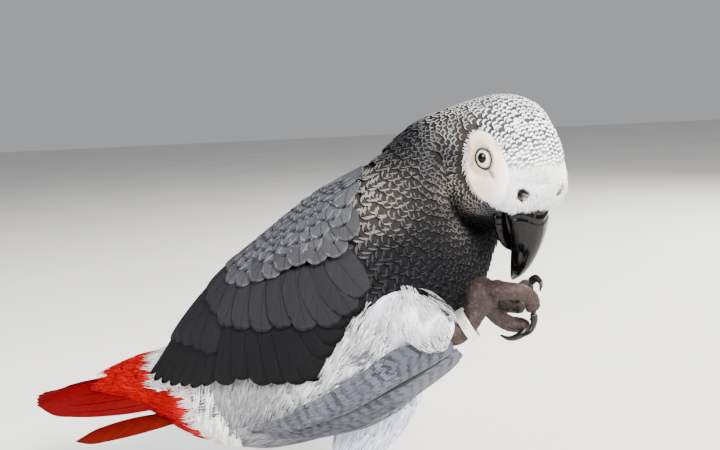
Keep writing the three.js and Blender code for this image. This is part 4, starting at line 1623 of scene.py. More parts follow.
def melted(shells: list[Shell], voxel: float, smooths: int) -> tuple[Array, Array]:
    """Melt shells into one skin by a voxel remesh, and smooth it.

    Args:
        shells: Closed shells that overlap.
        voxel: Size of a voxel in millimetres.
        smooths: How many times the surface is smoothed.

    Returns:
        The points in millimetres and the four-cornered faces.
    """
    source = bpy.data.objects.new("melt", mesh_of("melt", joined(shells)))
    bpy.context.collection.objects.link(source)
    remesh = source.modifiers.new("remesh", "REMESH")
    remesh.mode = "VOXEL"
    remesh.voxel_size = voxel * MM
    soften = source.modifiers.new("soften", "SMOOTH")
    soften.factor = 0.5
    soften.iterations = smooths
    bpy.context.view_layer.update()
    graph = bpy.context.evaluated_depsgraph_get()
    mesh = source.evaluated_get(graph).to_mesh()
    points = np.empty(len(mesh.vertices) * 3, np.float32)
    mesh.vertices.foreach_get("co", points)
    faces = np.empty(len(mesh.loops), np.int32)
    mesh.loops.foreach_get("vertex_index", faces)
    source.to_mesh_clear()
    bpy.data.objects.remove(source)
    return points.reshape(-1, 3).astype(float) / MM, faces.reshape(-1, 4)


def scale_height(points: Array, size: float, seed: int) -> Array:
    """Height of rounded scales over a surface.

    Space is cut into cells with one jittered seed point each; the height falls from 1 at the
    nearest seed to 0 halfway to the next.

    Args:
        points: Places in millimetres.
        size: A scale's width in millimetres.
        seed: Which scatter to use.

    Returns:
        Heights from 0 to 1.
    """
    cell = np.floor(points / size).astype(np.int64)
    nearest = np.full(len(points), 9.0)
    second = np.full(len(points), 9.0)
    for shift in np.ndindex(3, 3, 3):
        corner = cell + np.array(shift) - 1
        mixed = (corner[:, 0] * 73856093) ^ (corner[:, 1] * 19349663) ^ (corner[:, 2] * 83492791)
        jitter = np.stack([((mixed * k + seed) % 1013) / 1013.0 for k in (7, 31, 101)], -1)
        away = np.linalg.norm(points / size - corner - 0.15 - 0.7 * jitter, axis=-1)
        second = np.where(away < nearest, nearest, np.minimum(second, away))
        nearest = np.minimum(nearest, away)
    return smoothstep(0.0, 0.45, second - nearest)


@dataclass
class LegForm:
    """Shanks and feet: bars melted together, then scaled."""

    voxel: float
    scale: float = 1.15
    scale_rise: float = 0.2

    def shells(self) -> list[Shell]:
        """The bars of both legs."""
        shanks = [Tube(RAISED_SHANK, up=(1.0, 0.0, 0.0)), Tube(STANDING_SHANK, up=(1.0, 0.0, 0.0))]
        toes = [toe_tube(points) for points in (*RAISED_TOES, *STANDING_TOES)]
        return [tube_shell(t, 28, 24) for t in (*shanks, *toes)]

    def form(self) -> Shell:
        """Melt, scale and flatten the soles, and tint by place."""
        points, faces = melted(self.shells(), self.voxel, 4)
        normal = np.zeros_like(points)
        corner = np.cross(
            points[faces[:, 2]] - points[faces[:, 0]], points[faces[:, 3]] - points[faces[:, 1]]
        )
        for column in range(4):
            np.add.at(normal, faces[:, column], corner)
        normal = unit(normal)
        height = scale_height(points, self.scale, 5)
        points = points + (self.scale_rise * (height - 0.6))[:, None] * normal
        points[:, 2] = np.maximum(points[:, 2], 0.0)
        raised = smoothstep(60.0, 90.0, points[:, 2])[:, None]
        toe_end = smoothstep(78.0, 90.0, points[:, 0])[:, None]
        heel = smoothstep(66.0, 58.0, points[:, 0])[:, None]
        high = linear("#1b0d08") * (1 - toe_end) + linear("#251511") * toe_end
        high = high * (1 - heel) + linear("#3a241b") * heel
        low = np.broadcast_to(linear("#241510"), high.shape)
        colour = low * (1 - raised) + high * raised
        return Shell(points, [faces], tints={"tint": np.concatenate([colour, height[:, None]], 1)})


# ---- Assemblies ---------------------------------------------------------------------------
@dataclass
class Parrot:
    """Everything the bird is made of, with the materials its parts share."""

    rng: np.random.Generator = field(default_factory=lambda: np.random.default_rng(SEED))

    def __post_init__(self) -> None:
        """Make the shared materials."""
        self.head_plumage = Plumage("head_contour_feathers", barb_shade=0.2).make()
        self.body_plumage = Plumage("body_contour_feathers").make()
        self.wing_plumage = Plumage("wing_feathers", barb_shade=0.2, roughness=0.72, shaft=0.5).make()
        self.tail_plumage = Plumage(
            "tail_feathers", barb_shade=0.3, roughness=0.6, sheen=0.0, shaft=0.2, gloss=0.03
        ).make()
        self.down = Plumage("soft_down_plumes", barb_shade=0.12, roughness=0.9, sheen=0.15).make()

    def skin(self) -> None:
        """The one skin, under the coat and bare on face and feet."""
        maker = Skin()
        body = maker.form()
        tint = maker.skin_tint(body.points)
        head = in_head(body.points)
        shown = bareness(head, 2.0, 3.0) * smoothstep(3.4, 3.9, nostril_distance(head))
        shown = shown * smoothstep(5.6, 6.4, maker.lid_radius(head) * 4.6)
        body.tints["tint"] = np.concatenate([tint, shown[:, None]], 1)
        thighs = []
        for tube, inset in ((RAISED_THIGH, 3.0), (STANDING_THIGH, 3.0)):
            share = (1 - np.cos(np.linspace(0, np.pi, 40))) / 2
            grid = np.meshgrid(share, np.arange(48) * 7.5, indexing="ij")
            shrink = np.where((grid[0] > 0.02) & (grid[0] < 0.98), -inset, 0.0)
            shell = capped(tube.point(*grid, shrink))
            pale = np.broadcast_to(linear("#d3d6dd"), (len(shell.points), 3))
            shell.tints["tint"] = np.concatenate([pale, np.zeros((len(pale), 1))], 1)
            thighs.append(shell)
        legs = LegForm(maker.leg_voxel).form()
        legs.dress = [1]
        place(
            "skin",
            joined([body, *thighs, legs]),
            [BareSkin().make(), LegSkin().make()],
            "plumage",
            (
                "head", "neck", "trunk", "thigh_right", "thigh_left", "shank_right", "shank_left",
                *(f"toe_{hand}_{i}" for hand in ("right", "left") for i in (1, 2, 3, 4)),
            ),
        )  # fmt: skip

    def rings(self) -> tuple[Array, Array, Array]:
        """Find the roots of the scalloped feathers, in staggered rings from the face backwards.

        Rings are counted along lines that run back from the middle of the face: each line
        gathers one ring for every pitch it crosses, and rings lie where the count is whole.

        Returns:
            Shares of the body's length, degrees round it, and the distance to the neighbour.
        """
        lines = np.arange(0.0, 360.0, 2.0)
        u = np.linspace(1.0, 0.0, 700)
        grid = BODY.point(u[:, None], lines[None, :])
        pitch, _ = feather_size_at(grid.reshape(-1, 3))
        pitch = pitch.reshape(grid.shape[:2])
        step = np.linalg.norm(np.diff(grid, axis=0), axis=-1) / (pitch[1:] + pitch[:-1]) * 2
        gone = np.concatenate([np.zeros((1, len(lines))), np.cumsum(step, 0)])
        counts = ((0, 18), (5, 30), (9, 40), (16, 54), (28, 68), (38, 62), (50, 46), (76, 34))
        found_a, found_b, gaps = [], [], []
        for ring in range(3, int(gone[-1].min())):
            at_u = np.array([np.interp(ring, gone[:, k], u) for k in range(len(lines))])
            here = BODY.point(at_u, lines)
            step = np.linalg.norm(np.roll(here, -1, 0) - here, axis=-1)
            count = int(table(counts, ring))
            where = (np.arange(count) + 0.5 * (ring % 2)) / count * step.sum()
            b = np.interp(where, np.concatenate([[0.0], np.cumsum(step)]), np.append(lines, 360.0))
            found_b.append(b)
            found_a.append(np.interp(b, np.append(lines, 360.0), np.append(at_u, at_u[0])))
            gaps.append(np.full(count, step.sum() / count))
        return np.concatenate(found_a), np.concatenate(found_b), np.concatenate(gaps)

    def contour(self) -> None:
        """Scalloped feathers of head, neck, mantle, breast and back."""
        a, b, gap = self.rings()
        points, by_a, by_b, _ = BODY.basis(a, b)
        pitch, _ = feather_size_at(points)
        wild = smoothstep(2.6, 5.5, pitch)
        loose = 0.05 + 0.11 * wild
        a = a + self.rng.normal(0, 1, len(a)) * loose * pitch / np.linalg.norm(by_a, axis=-1)
        b = b + self.rng.normal(0, 1, len(b)) * loose * gap / np.maximum(np.linalg.norm(by_b, axis=-1), 0.05)
        a = np.clip(a, 0.0, 0.999)
        points = BODY.point(a, b)
        head = in_head(points)
        tips = points + unit(-by_a) * (pitch * 1.7)[:, None]
        side = np.abs(head[:, 1])
        bare = (bareness(head, 0.2) > 0.5) | (bareness(in_head(tips), -0.6) > 0.5)
        cere = (head[:, 0] > 13) & (head[:, 2] < 2) & (head[:, 2] > -17) & (side < 18)
        mouth = (head[:, 0] > 8) & (head[:, 2] < -14) & (head[:, 2] > -26) & (side < 8)
        spine = (np.sin(np.radians(b)) > 0.72) & (points[:, 0] < 10)
        keep = ~bare & ~cere & ~mouth & (spine | ~under_wing(points, 8.0)) & ~self.fluffy(points) & (a > 0.07)
        a, b, pitch, gap, points, head, wild = (x[keep] for x in (a, b, pitch, gap, points, head, wild))
        centre, fringe = markings_at(points)
        _, edge = feather_size_at(points)
        front = smoothstep(6.0, 16.0, head[:, 0])
        for name, chosen, cut, finish in (
            ("head_feathers", head[:, 0] > -12, VaneCut(rows=5, cols=6), self.head_plumage),
            (
                "neck_feathers", (head[:, 0] <= -12) & (head[:, 0] > -45), VaneCut(rows=5, cols=6),
                self.head_plumage
            ),
            ("body_feathers", head[:, 0] <= -45, VaneCut(rows=6, cols=6, tip=0.34), self.body_plumage),
        ):
            n = int(chosen.sum())
            turn = self.rng.normal(0, 5.0, n) * (0.5 + wild[chosen])
            droop = np.array([0.0, 0.0, -0.5 if name == "body_feathers" else 0.0])
            coat = Coat(
                a=a[chosen],
                b=b[chosen],
                way=flowing(lambda here, rising: droop - rising, turn),
                length=pitch[chosen] * 2.5 * self.rng.normal(1.0, 0.07, n),
                width=gap[chosen] * (1.2 + 0.1 * wild[chosen]),
                sink=0.9 + 1.4 * wild[chosen],
                rise=0.2 + 0.4 * wild[chosen] - 0.25 * front[chosen] + self.rng.normal(0, 0.05, n),
                dome=0.3 + 0.25 * wild[chosen],
                lean=self.rng.normal(0, 0.04, n),
                edge=edge[chosen] * 0.42 * self.rng.normal(1.0, 0.12, n),
                centre=centre[chosen],
                fringe=fringe[chosen],
                patch=np.stack([a[chosen], (b[chosen] % 360.0) / 360.0], -1) * 0.98 + 0.01,
            )
            place(name, lay(BODY, coat, cut, self.rng), [finish], "plumage")

    def fluffy(self, points: Array) -> Array:
        """Tell where the body wears soft plumes: flank, belly and vent."""
        side = np.abs(points[:, 1])
        flank = (points[:, 0] < 36) & (points[:, 2] < 112) & (side > 16)
        return flank | (points[:, 2] < 74) | ((points[:, 0] < 12) & (points[:, 2] < 100) & (side > 10))

    def plush(self) -> None:
        """Short white bristles of forehead, cere and face edge, standing off a little."""
        tries = 60000
        a = 1 - self.rng.uniform(0, 1, tries) ** 1.5 * 0.19
        b = self.rng.uniform(0, 360, tries)
        here, by_a, _, normal = BODY.basis(a, b)
        head = in_head(here)
        area = np.linalg.norm(np.cross(by_a, BODY.basis(a, b)[2]), axis=-1)
        even = self.rng.uniform(0, 1, tries) < area / area.max() * 1.7
        f, u = head[:, 0], head[:, 2]
        bare = bareness(head, 0.0, 3.0)
        rim = (bare > 0.02) & (bare < 0.97)
        start = 11.5 + self.rng.normal(0, 1.3, tries)
        front = (f > start) & (u > -17) & (u < 10 - (f - 11.5) * 0.2) & (bare < 0.5)
        keep = even & (rim | front) & (nostril_distance(head + np.array([0.0, 0.0, -1.0])) > 2.9)
        keep &= nostril_distance(head) > 2.5
        rise = 0.25 + 0.75 * smoothstep(2.0, 6.5, nostril_distance(head))
        here, normal, by_a, f, u, front, rise = (x[keep] for x in (here, normal, by_a, f, u, front, rise))
        count = len(here)
        drop = smoothstep(2.0, -6.0, u)[:, None]
        back = -unit(by_a) * (1 - drop) + (HEAD_FORWARD * 0.3 - HEAD_UP) * drop
        back = back - (back * normal).sum(-1, keepdims=True) * normal
        turn = self.rng.normal(0, 0.35, (count, 1))
        way = unit(unit(back) + turn * np.cross(normal, unit(back)))
        lift = (
            0.16 + 0.16 * drop[:, 0] + 0.14 * smoothstep(15.0, 19.0, f) + self.rng.normal(0, 0.08, count)
        )[:, None]
        length = np.where(front, 1.7 + 0.9 * smoothstep(15.0, 19.0, f), 1.2)
        length = length * self.rng.uniform(0.6, 1.25, count) * rise * (1 + 0.3 * drop[:, 0])
        root = here - 0.5 * normal
        share = np.array([0.0, 0.5, 1.0])[None, :, None]
        way3, normal3 = way[:, None], normal[:, None]
        paths = root[:, None] + length[:, None, None] * share * (
            way3 + (lift[:, None] * (1.3 - 0.5 * share)) * normal3
        )
        points, faces = spines(
            paths, np.broadcast_to(normal3, paths.shape), self.rng.uniform(0.2, 0.36, count), 0.5
        )
        white = smoothstep(8.0, 14.0, f)[:, None]
        _, fringe = markings_at(here)
        edge = linear("#f1eeea") * (0.7 + 0.3 * self.rng.uniform(0, 1, (count, 1)))
        colour = linear("#fbfbfc") * white + (0.25 * fringe + 0.75 * edge) * (1 - white)
        patch = np.stack([a[keep], (b[keep] % 360.0) / 360.0], -1) * 0.98 + 0.01
        cell = np.stack([np.repeat([0.0, 0.5, 1.0], 3), np.full(9, 0.5)], -1) - 0.5
        shell = Shell(
            points=points,
            faces=faces,
            maps={"OFBake": (patch[:, None] + PATCH * cell[None]).reshape(-1, 2)},
            tints={
                "centre": with_alpha(colour, np.zeros((count, 1)), count, 9),
                "fringe": with_alpha(colour, np.zeros((count, 1)), count, 9),
            },
            vectors={"barb": np.ones((len(points), 3))},
        )
        place("face_bristles", shell, [self.down], "pale")


@dataclass(frozen=True)
class FeatherRow:
    """A row of wing feathers: where its tips run, and how its feathers look at both ends.

    Tips are (share of the wing's length, degrees down from the spine). Length, width, level and
    the colours go from the first feather to the last.
    """

    name: str
    tips: tuple[Row, ...]
    count: int
    length: tuple[float, float]
    width: tuple[float, float]
    level: tuple[float, float]
    centre: tuple[str, str]
    fringe: tuple[str, str]
    loose: float = 0.0
    edge: float = 0.05
    dome: float = 0.6
    lean: float = 0.75
    cut: VaneCut = VaneCut(rows=14, cols=8, neck=0.35, shoulder=0.35, end=0.82, tip=0.42)


@dataclass
class Wing:
    """A folded wing as rows of feathers, from the longest quills up to the small coverts."""

    hand: Hand
    small_cut: VaneCut = VaneCut(rows=6, cols=6, neck=0.6, shoulder=0.45, end=0.8, tip=0.36)
    rows: tuple[FeatherRow, ...] = (
        FeatherRow(
            "primaries",
            ((0.63, 90), (0.7, 85), (0.76, 77), (0.8, 68), (0.825, 58), (0.838, 47), (0.845, 36)),
            7, (62, 80), (16, 12), (-3.8, -3.0), (COAL, SOOT), (JET, COAL), 0.06, 0.02,
            0.35, 0.7, VaneCut(14, 8, 0.4, 0.3, 0.5, 0.75),
        ),
        FeatherRow(
            "secondaries",
            ((0.14, 101), (0.22, 101), (0.3, 104), (0.39, 107.5), (0.46, 103), (0.53, 93), (0.6, 87)),
            10, (36, 54), (16, 15), (-2.9, -2.5), (COAL, COAL), (JET, JET), 0.16, 0.03,
        ),
        FeatherRow(
            "tertials",
            ((0.56, 74), (0.62, 62), (0.69, 44), (0.74, 24)),
            5, (44, 54), (16, 13), (-1.9, -1.8), (JET, JET), (INK, INK), 0.15, 0.04,
        ),
        FeatherRow(
            "greater_coverts",
            (
                (0.1, 99), (0.17, 100), (0.24, 96), (0.3, 92), (0.37, 83), (0.43, 73), (0.49, 60),
                (0.53, 42), (0.54, 22)
            ),
            11, (27, 38), (15.5, 15), (-1.4, -0.9), (INK, INK), (CHARCOAL, CHARCOAL), 0.18, 0.04,
        ),
        FeatherRow(
            "median_coverts",
            (
                (0.05, 70), (0.1, 75), (0.17, 71), (0.24, 62), (0.3, 59), (0.36, 55), (0.42, 43),
                (0.45, 27), (0.45, 14)
            ),
            11, (18, 22), (14, 12.5), (-0.4, -0.2), (SLATE, SLATE), (STEEL, STEEL), 0.25, 0.06,
        ),
    )  # fmt: skip

    def heading(self, surface: Surface, a: Array, b: Array) -> Array:
        """The way feathers lie on the wing.

        Angles from the wing's length towards its lower edge: steep near the shoulder, shallow
        towards the tip, and along the back near the upper edge.
        """
        _, by_a, by_b, _ = surface.basis(a, b)
        turns = (
            (0.0, 92), (0.1, 88), (0.2, 76), (0.3, 63), (0.42, 54), (0.5, 42), (0.6, 30), (0.7, 22),
            (0.9, 12)
        )
        angle = np.radians(table(turns, a) * (0.3 + 0.7 * smoothstep(8.0, 72.0, b)))[..., None]
        down = unit(by_b - (by_b * unit(by_a)).sum(-1, keepdims=True) * unit(by_a))
        return np.cos(angle) * unit(by_a) + np.sin(angle) * down

    def traced_back(self, surface: Surface, a: Array, b: Array, length: Array) -> tuple[Array, Array]:
        """Trace back along the heading from the tips to the roots, in 14 steps."""
        for _ in range(14):
            a, b = surface.moved(a, b, -self.heading(surface, a, b) * (length / 14)[:, None])
            a = np.clip(a, 0.002, 0.98)
        return a, b

    def coat(
        self, surface: Surface, tip_a: Array, tip_b: Array, row: FeatherRow, rng: np.random.Generator
    ) -> Coat:
        """Feathers whose tips are at the given places."""
        n = len(tip_a)
        share = np.linspace(0, 1, n) if n > 1 else np.zeros(1)
        blend = lambda pair: pair[0] + (pair[1] - pair[0]) * share  # noqa: E731
        shade = lambda pair: (  # noqa: E731
            linear(pair[0]) * (1 - share[:, None]) + linear(pair[1]) * share[:, None]
        )
        length = blend(row.length)
        a, b = self.traced_back(surface, tip_a, tip_b, length)
        tone = rng.normal(1.0, 0.28 * row.loose, n)[:, None]
        return Coat(
            a=a,
            b=b,
            way=self.heading,
            length=length * (1 + row.loose * rng.normal(0, 0.2, n)),
            width=blend(row.width) * (1 + row.loose * rng.normal(0, 0.2, n)),
            sink=1.0 - blend(row.level),
            rise=blend(row.level) + row.loose * np.abs(rng.normal(0, 1.2, n)),
            dome=row.dome,
            lean=self.hand.value * (row.lean + row.loose * rng.normal(0, 1.0, n)) * blend(row.width) / 15,
            edge=row.edge,
            centre=shade(row.centre) * tone,
            fringe=shade(row.fringe) * tone,
            patch=np.stack([np.clip(a, 0, 1), np.clip(b, 0, 120) / 120.0], -1) * 0.97 + 0.015,
        )

    def lesser(self, surface: Surface, rng: np.random.Generator) -> list[Shell]:
        """Rows of small coverts and scapulars, traced back from the median coverts' tips."""
        tips = np.array(self.rows[-1].tips)
        at = surface.point(tips[:, 0], tips[:, 1])
        gone = np.concatenate([[0.0], np.cumsum(np.linalg.norm(np.diff(at, axis=0), axis=1))])
        shells = []
        for rank in range(1, 13):
            pitch = 9.4 - 0.3 * rank
            count = int(gone[-1] / (pitch * 0.95))
            where = (np.arange(count) + 0.5 * (rank % 2)) / count * gone[-1] + rng.normal(0, 0.5, count)
            made = smooth_rows(gone, tips, np.clip(where, 0, gone[-1]))
            back = 6.0 * rank + rng.normal(0, 0.5, count)
            a, b = self.traced_back(surface, made[:, 0], made[:, 1], back)
            upper = np.interp(a, [r[0] for r in WING_UPPER_EDGE], [r[1] for r in WING_UPPER_EDGE])
            keep = (b > upper - 3.0) & (a > 0.012) & (a < 0.8)
            if keep.sum() < 2:
                break
            row = FeatherRow(
                "lesser_coverts", (), count, (pitch * 1.75, pitch * 1.75), (pitch * 1.35, pitch * 1.3),
                (-0.1, 0.1), (IRON, IRON), (LEAD, LEAD), 0.12, 0.05, 0.2, 0.3, self.small_cut,
            )  # fmt: skip
            shells.append(lay(surface, self.coat(surface, a[keep], b[keep], row, rng), row.cut, rng, 0.4))
        return shells

    def make(self, finish: bpy.types.Material, rng: np.random.Generator) -> None:
        """Build the wing as one piece."""
        surface = WingForm(self.hand)
        shells = self.lesser(surface, rng)
        for row in self.rows:
            tips = np.array(row.tips)
            at = surface.point(tips[:, 0], tips[:, 1])
            gone = np.concatenate([[0.0], np.cumsum(np.linalg.norm(np.diff(at, axis=0), axis=1))])
            where = (np.arange(row.count) + 0.5) / row.count * gone[-1]
            where = where + rng.normal(0, 3 * row.loose, row.count)
            made = smooth_rows(gone, tips, np.clip(where, 0, gone[-1]))
            shells.append(lay(surface, self.coat(surface, made[:, 0], made[:, 1], row, rng), row.cut, rng))
        name = "left" if self.hand is Hand.LEFT else "right"
        place(f"wing_feathers_{name}", joined(shells), [finish], "wing", (f"wing_{name}",))


@dataclass
class Tail:
    """The short red tail: ten broad feathers in a narrow fan and the coverts over and under."""

    root: tuple[float, float, float] = (-86.0, 0.0, 82.0)
    length: float = 95.0
    feathers: int = 10
    steepness: tuple[float, ...] = (10.0, 32.0, 48.0, 60.0, 70.0)
    arch: tuple[float, float] = (17.0, 5.0)

    def feather(self, hand: int, rank: int) -> Tube:
        """The path of one tail feather, counted from the middle pair outwards.

        The feathers lie side by side over an arch whose radius shrinks towards the tips; the
        outermost right one hangs loose.
        """
        loose = hand < 0 and rank == self.feathers // 2 - 1
        yaw = np.radians(hand * (15.0 if loose else 0.5 + 0.9 * rank))
        pitch = np.radians(7.5 if loose else 9.2)
        way = np.array([-np.cos(yaw) * np.cos(pitch), np.sin(yaw), -np.sin(pitch)])
        length = 56.0 if loose else self.length - 1.8 * rank
        steep = np.radians(self.steepness[rank])
        root = np.array(self.root)
        stops = []
        for share, wide, thick in (
            (0, 4, 1.2), (0.3, 7, 0.9), (0.7, 7, 0.6), (0.93, 4.4, 0.45), (1, 1.8, 0.3)
        ):
            radius = self.arch[0] + (self.arch[1] - self.arch[0]) * share
            aside = np.array([0.0, hand * radius * np.sin(steep), radius * (np.cos(steep) - 1)])
            aside = np.array([2.0, -12.0, -20.0]) if loose else aside
            at = root + aside + way * length * share - np.array([0.0, 0.0, 4 * share**2])
            stops.append((*at, wide * (0.6 if loose else 1.0), thick))
        lie = 0.5 * steep if loose else 0.85 * steep
        return Tube(tuple(stops), up=(0.0, float(hand * np.sin(lie)), float(np.cos(lie))), blunt=0.1)

    def blade(self, tube: Tube, centre: str, fringe: str, rng: np.random.Generator, bend: float) -> Shell:
        """A closed blade over a tube's width: flat below and domed along the shaft."""
        cut = VaneCut(rows=30, cols=12)
        share, side, _, low, _ = cut.grid()
        at = np.linspace(0, 1, tube.samples)
        row = np.stack([np.interp(share, at, column) for column in tube.path.T], -1)
        end = np.sqrt(np.clip(1 - np.clip((share - 0.75) / 0.25, 0, 1) ** 2.0, 0.02, 1))
        wide = row[:, 3] * end * 1.18
        lift = 1.5 * (1 - side**2) + bend * side - 0.5 * low
        top = row[:, :3] + (wide * side)[:, None] * row[:, 5:8] + lift[:, None] * row[:, 8:11]
        notch = 0.5 * np.sin(side * 21 + rng.uniform(0, 6)) * share**4
        top = top + notch[:, None] * np.cross(row[:, 5:8], row[:, 8:11])
        long = share * tube.length
        rim = 0.5 + (share - 0.97) / 0.25 + 0.6 * (np.abs(side) ** 3 - 0.75)
        seed = np.full_like(long, rng.uniform(0, 400))
        shade = rng.normal(1.0, 0.08)
        middle = tube.path[tube.samples // 2, :3]
        patch = np.array([(middle[0] + 200) / 260.0, (middle[1] + 40) / 80.0])
        return Shell(
            points=top,
            faces=cut.faces(),
            flat=[False, True, True, True, True, True, True],
            maps={"OFBake": patch + PATCH * (np.stack([(side + 1) / 2, share], -1) - 0.5)},
            tints={
                "centre": with_alpha(linear(centre)[None] * shade, rim[None], 1, rim.size),
                "fringe": with_alpha(linear(fringe)[None] * shade, np.zeros((1, 1)), 1, rim.size),
            },
            vectors={"barb": np.stack([long, np.abs(wide * side), seed], -1)},
        )

    def coverts(self, rng: np.random.Generator) -> list[Shell]:
        """Loose feathers round the tail's root: red, with a white rump and a pinkish vent.

        Each field runs over a span of the form; side is the height of the form's flank, from -1
        below to 1 above, from which (or up to which) the field reaches.
        """
        form = Tube(
            (
                (-50, 0, 87, 35, 43), (-62, 0, 81, 32, 38), (-74, 0, 76.5, 26.5, 29.5),
                (-86, 0, 75.5, 21, 22.5),
                (-98, 0, 76.5, 18, 17), (-112, 0, 77.5, 16, 12), (-128, 0, 76, 13, 7),
                (-142, 0, 73.5, 9, 3.5),
            )
        )  # fmt: skip
        pull = lambda here, rising: rising  # noqa: E731
        shells = []
        for low, high, pitch, length, colours, rise, count, shown in (
            (
                0.2, 0.7, 4.6, 21.0, ("#a80006", "#8c0004"), 0.4, 16, lambda a,
                side: (side < 0.42) | (a > 0.38)
            ),
            (
                0.12, 0.34, 4.4, 17.0, ("#c6c0c0", "#dedada"), 1.0, 26, lambda a,
                side: (side > 0.36) | ((side > 0.05) & (a < 0.2))
            ),
            (0.03, 0.13, 4.4, 15.0, ("#cdb0b2", "#e6d8d8"), 0.9, 26, lambda a, side: side < 0.3),
        ):
            a, b = spread_over(form, pitch, low, high, rng)
            side = np.sin(np.radians(b)) + rng.normal(0, 0.1, len(a))
            keep = shown(a + rng.normal(0, 0.02, len(a)), side)
            a, b = a[keep], b[keep]
            n = len(a)
            centre, fringe = (np.broadcast_to(linear(c), (n, 3)) for c in colours)
            coat = Coat(
                a=a, b=b, way=flowing(pull, rng.normal(0, 7, n)), length=length * rng.normal(1.0, 0.14, n),
                width=pitch * 2.0, sink=1.2, rise=rise, dome=0.3, lean=rng.normal(0, 0.1, n),
                centre=centre, fringe=fringe, edge=0.3,
                patch=np.stack([a, (b % 360) / 360], -1) * 0.3 + 0.6,
            )  # fmt: skip
            shells.append(lay(form, coat, VaneCut(rows=6, cols=4, end=0.45, tip=0.3), rng))
            shells.append(barbs(form, coat, count, rng, 0.4, 0.5))
        return shells

    def make(self, finish: bpy.types.Material, rng: np.random.Generator) -> None:
        """Build the fan and its coverts as one piece."""
        shells = self.coverts(rng)
        for rank in range(self.feathers // 2):
            for hand in (-1, 1):
                colours = ("#500002", "#420002") if rank < 4 else ("#4c0602", "#400402")
                shells.append(self.blade(self.feather(hand, rank), *colours, rng, 0.25 * hand))
        place("tail_feathers", joined(shells), [finish], "tail", ("tail",))


@dataclass
class Apron(Surface):
    """The sheet on which the long barred feathers hang below the raised thigh.

    It is a curved sheet through three rails from knee to belly: at t = (b - 180) / 90 the point
    is 2 (t - 1/2)(t - 1) upper - 4 t (t - 1) middle + 2 t (t - 1/2) lower.
    """

    upper: tuple[Row, ...] = (
        (66, -45, 117.5), (50, -50, 116), (38, -50.5, 112), (20, -47.5, 98), (0, -44, 86), (-22, -40, 77),
        (-38, -35.5, 70.5),
    )
    middle: tuple[Row, ...] = (
        (66, -41, 113.5), (52, -45.5, 105.5), (36, -44.5, 95.5), (18, -43.5, 87), (0, -41, 79),
        (-22, -37, 72.5),
        (-38, -32.5, 67.5),
    )
    lower: tuple[Row, ...] = (
        (67, -36.5, 109.5), (58, -36.5, 101), (43, -35, 90), (24, -33.5, 79), (4, -32.5, 70.5),
        (-20, -30.5, 65),
        (-38, -26.5, 61.5),
    )  # fmt: skip
    step_a: float = 1e-3

    def point(self, a: Array, b: Array, grow: Array | float = 0.0) -> Array:
        """The sheet's point, moved out to the right by grow."""
        a, b = np.broadcast_arrays(np.asarray(a, float), np.asarray(b, float))
        rails = [np.array(rail, float) for rail in (self.upper, self.middle, self.lower)]
        gone = np.linalg.norm(np.diff(rails[1], axis=0), axis=1)
        keys = np.concatenate([[0.0], np.cumsum(gone)]) / gone.sum()
        upper, middle, lower = (smooth_rows(keys, rail, np.clip(a, 0.0, 1.0)) for rail in rails)
        t = ((b - 180.0) / 90.0)[..., None]
        sheet = 2 * (t - 0.5) * (t - 1) * upper - 4 * t * (t - 1) * middle + 2 * t * (t - 0.5) * lower
        return sheet - np.multiply.outer(np.broadcast_to(grow, a.shape), np.array([0.0, 1.0, 0.0]))

    @cached_property
    def facing(self) -> float:
        """Sign that turns the cross product of the changes to the bird's right."""
        by_a, by_b = self.changes(np.array([0.5]), np.array([225.0]))
        return float(-np.sign(np.cross(by_a, by_b)[0, 1]))


@dataclass(frozen=True)
class Drape:
    """A field of soft plumes on one form.

    Span is the range of the form's length; shown tells which roots are kept from their places
    and angles; pull gives the direction in which they hang.
    """

    name: str
    form: Surface
    span: tuple[float, float]
    pitch: float
    length: float
    width: float
    shown: Callable[[Array, Array, Array], Array]
    pull: Callable[[Array, Array], Array]
    barbs: int = 18
    rise: float = 0.3
    bars: float = 0.0
    edge: float = 0.3
    turn: float = 4.0
    colours: tuple[str, str] = ("#c9cbd0", "#e6e8ec")
    lean: float = 0.0
    barb_width: float = 0.6
    roots: tuple[Row, ...] = ()
    rear_shade: float = 0.0

    def tapered(self, a: Array) -> Array:
        """Share of the full length: plumes are shorter near a thigh's lower end."""
        return 1.0 - 0.6 * smoothstep(0.72, 0.95, a) if isinstance(self.form, Tube) else np.ones_like(a)

    def make(self, finish: bpy.types.Material, rng: np.random.Generator) -> None:
        """Build the plumes and their barbs as one piece."""
        if self.roots:
            a, b, share = np.array(self.roots).T
        else:
            a, b = spread_over(self.form, self.pitch, *self.span, rng)
            keep = self.shown(self.form.point(a, b), a, b % 360.0)
            a, b = a[keep], b[keep]
            share = self.tapered(a)
        n = len(a)
        # painted shade: the plumes darken towards the rear end of their form
        tone = 1.0 - self.rear_shade * smoothstep(0.7, 0.15, a)[:, None]
        centre, fringe = (linear(c)[None] * tone for c in self.colours)
        coat = Coat(
            a=a, b=b, way=flowing(self.pull, rng.normal(0, self.turn, n)),
            length=self.length * rng.normal(1.0, 0.04, n) * share,
            width=self.width * rng.normal(1.0, 0.06, n),
            sink=1.3, rise=self.rise + np.abs(rng.normal(0, 0.08, n)), dome=0.35 if self.bars else 0.9,
            lean=self.lean + rng.normal(0, 0.05, n), centre=centre, fringe=fringe, edge=self.edge,
            bars=self.bars * rng.uniform(0.6, 1.0, n),
        )  # fmt: skip
        first = 0.3 if self.bars else 0.0
        shells = [
            barbs(self.form, coat, self.barbs, rng, self.barb_width, 0.26 if self.roots else 0.42, first)
        ]
        if self.bars:
            cut = VaneCut(rows=12, cols=8, neck=0.5, shoulder=0.3, end=0.45, tip=0.3)
            shells.append(lay(self.form, coat, cut, rng))
        place(self.name, joined(shells), [finish], "pale")


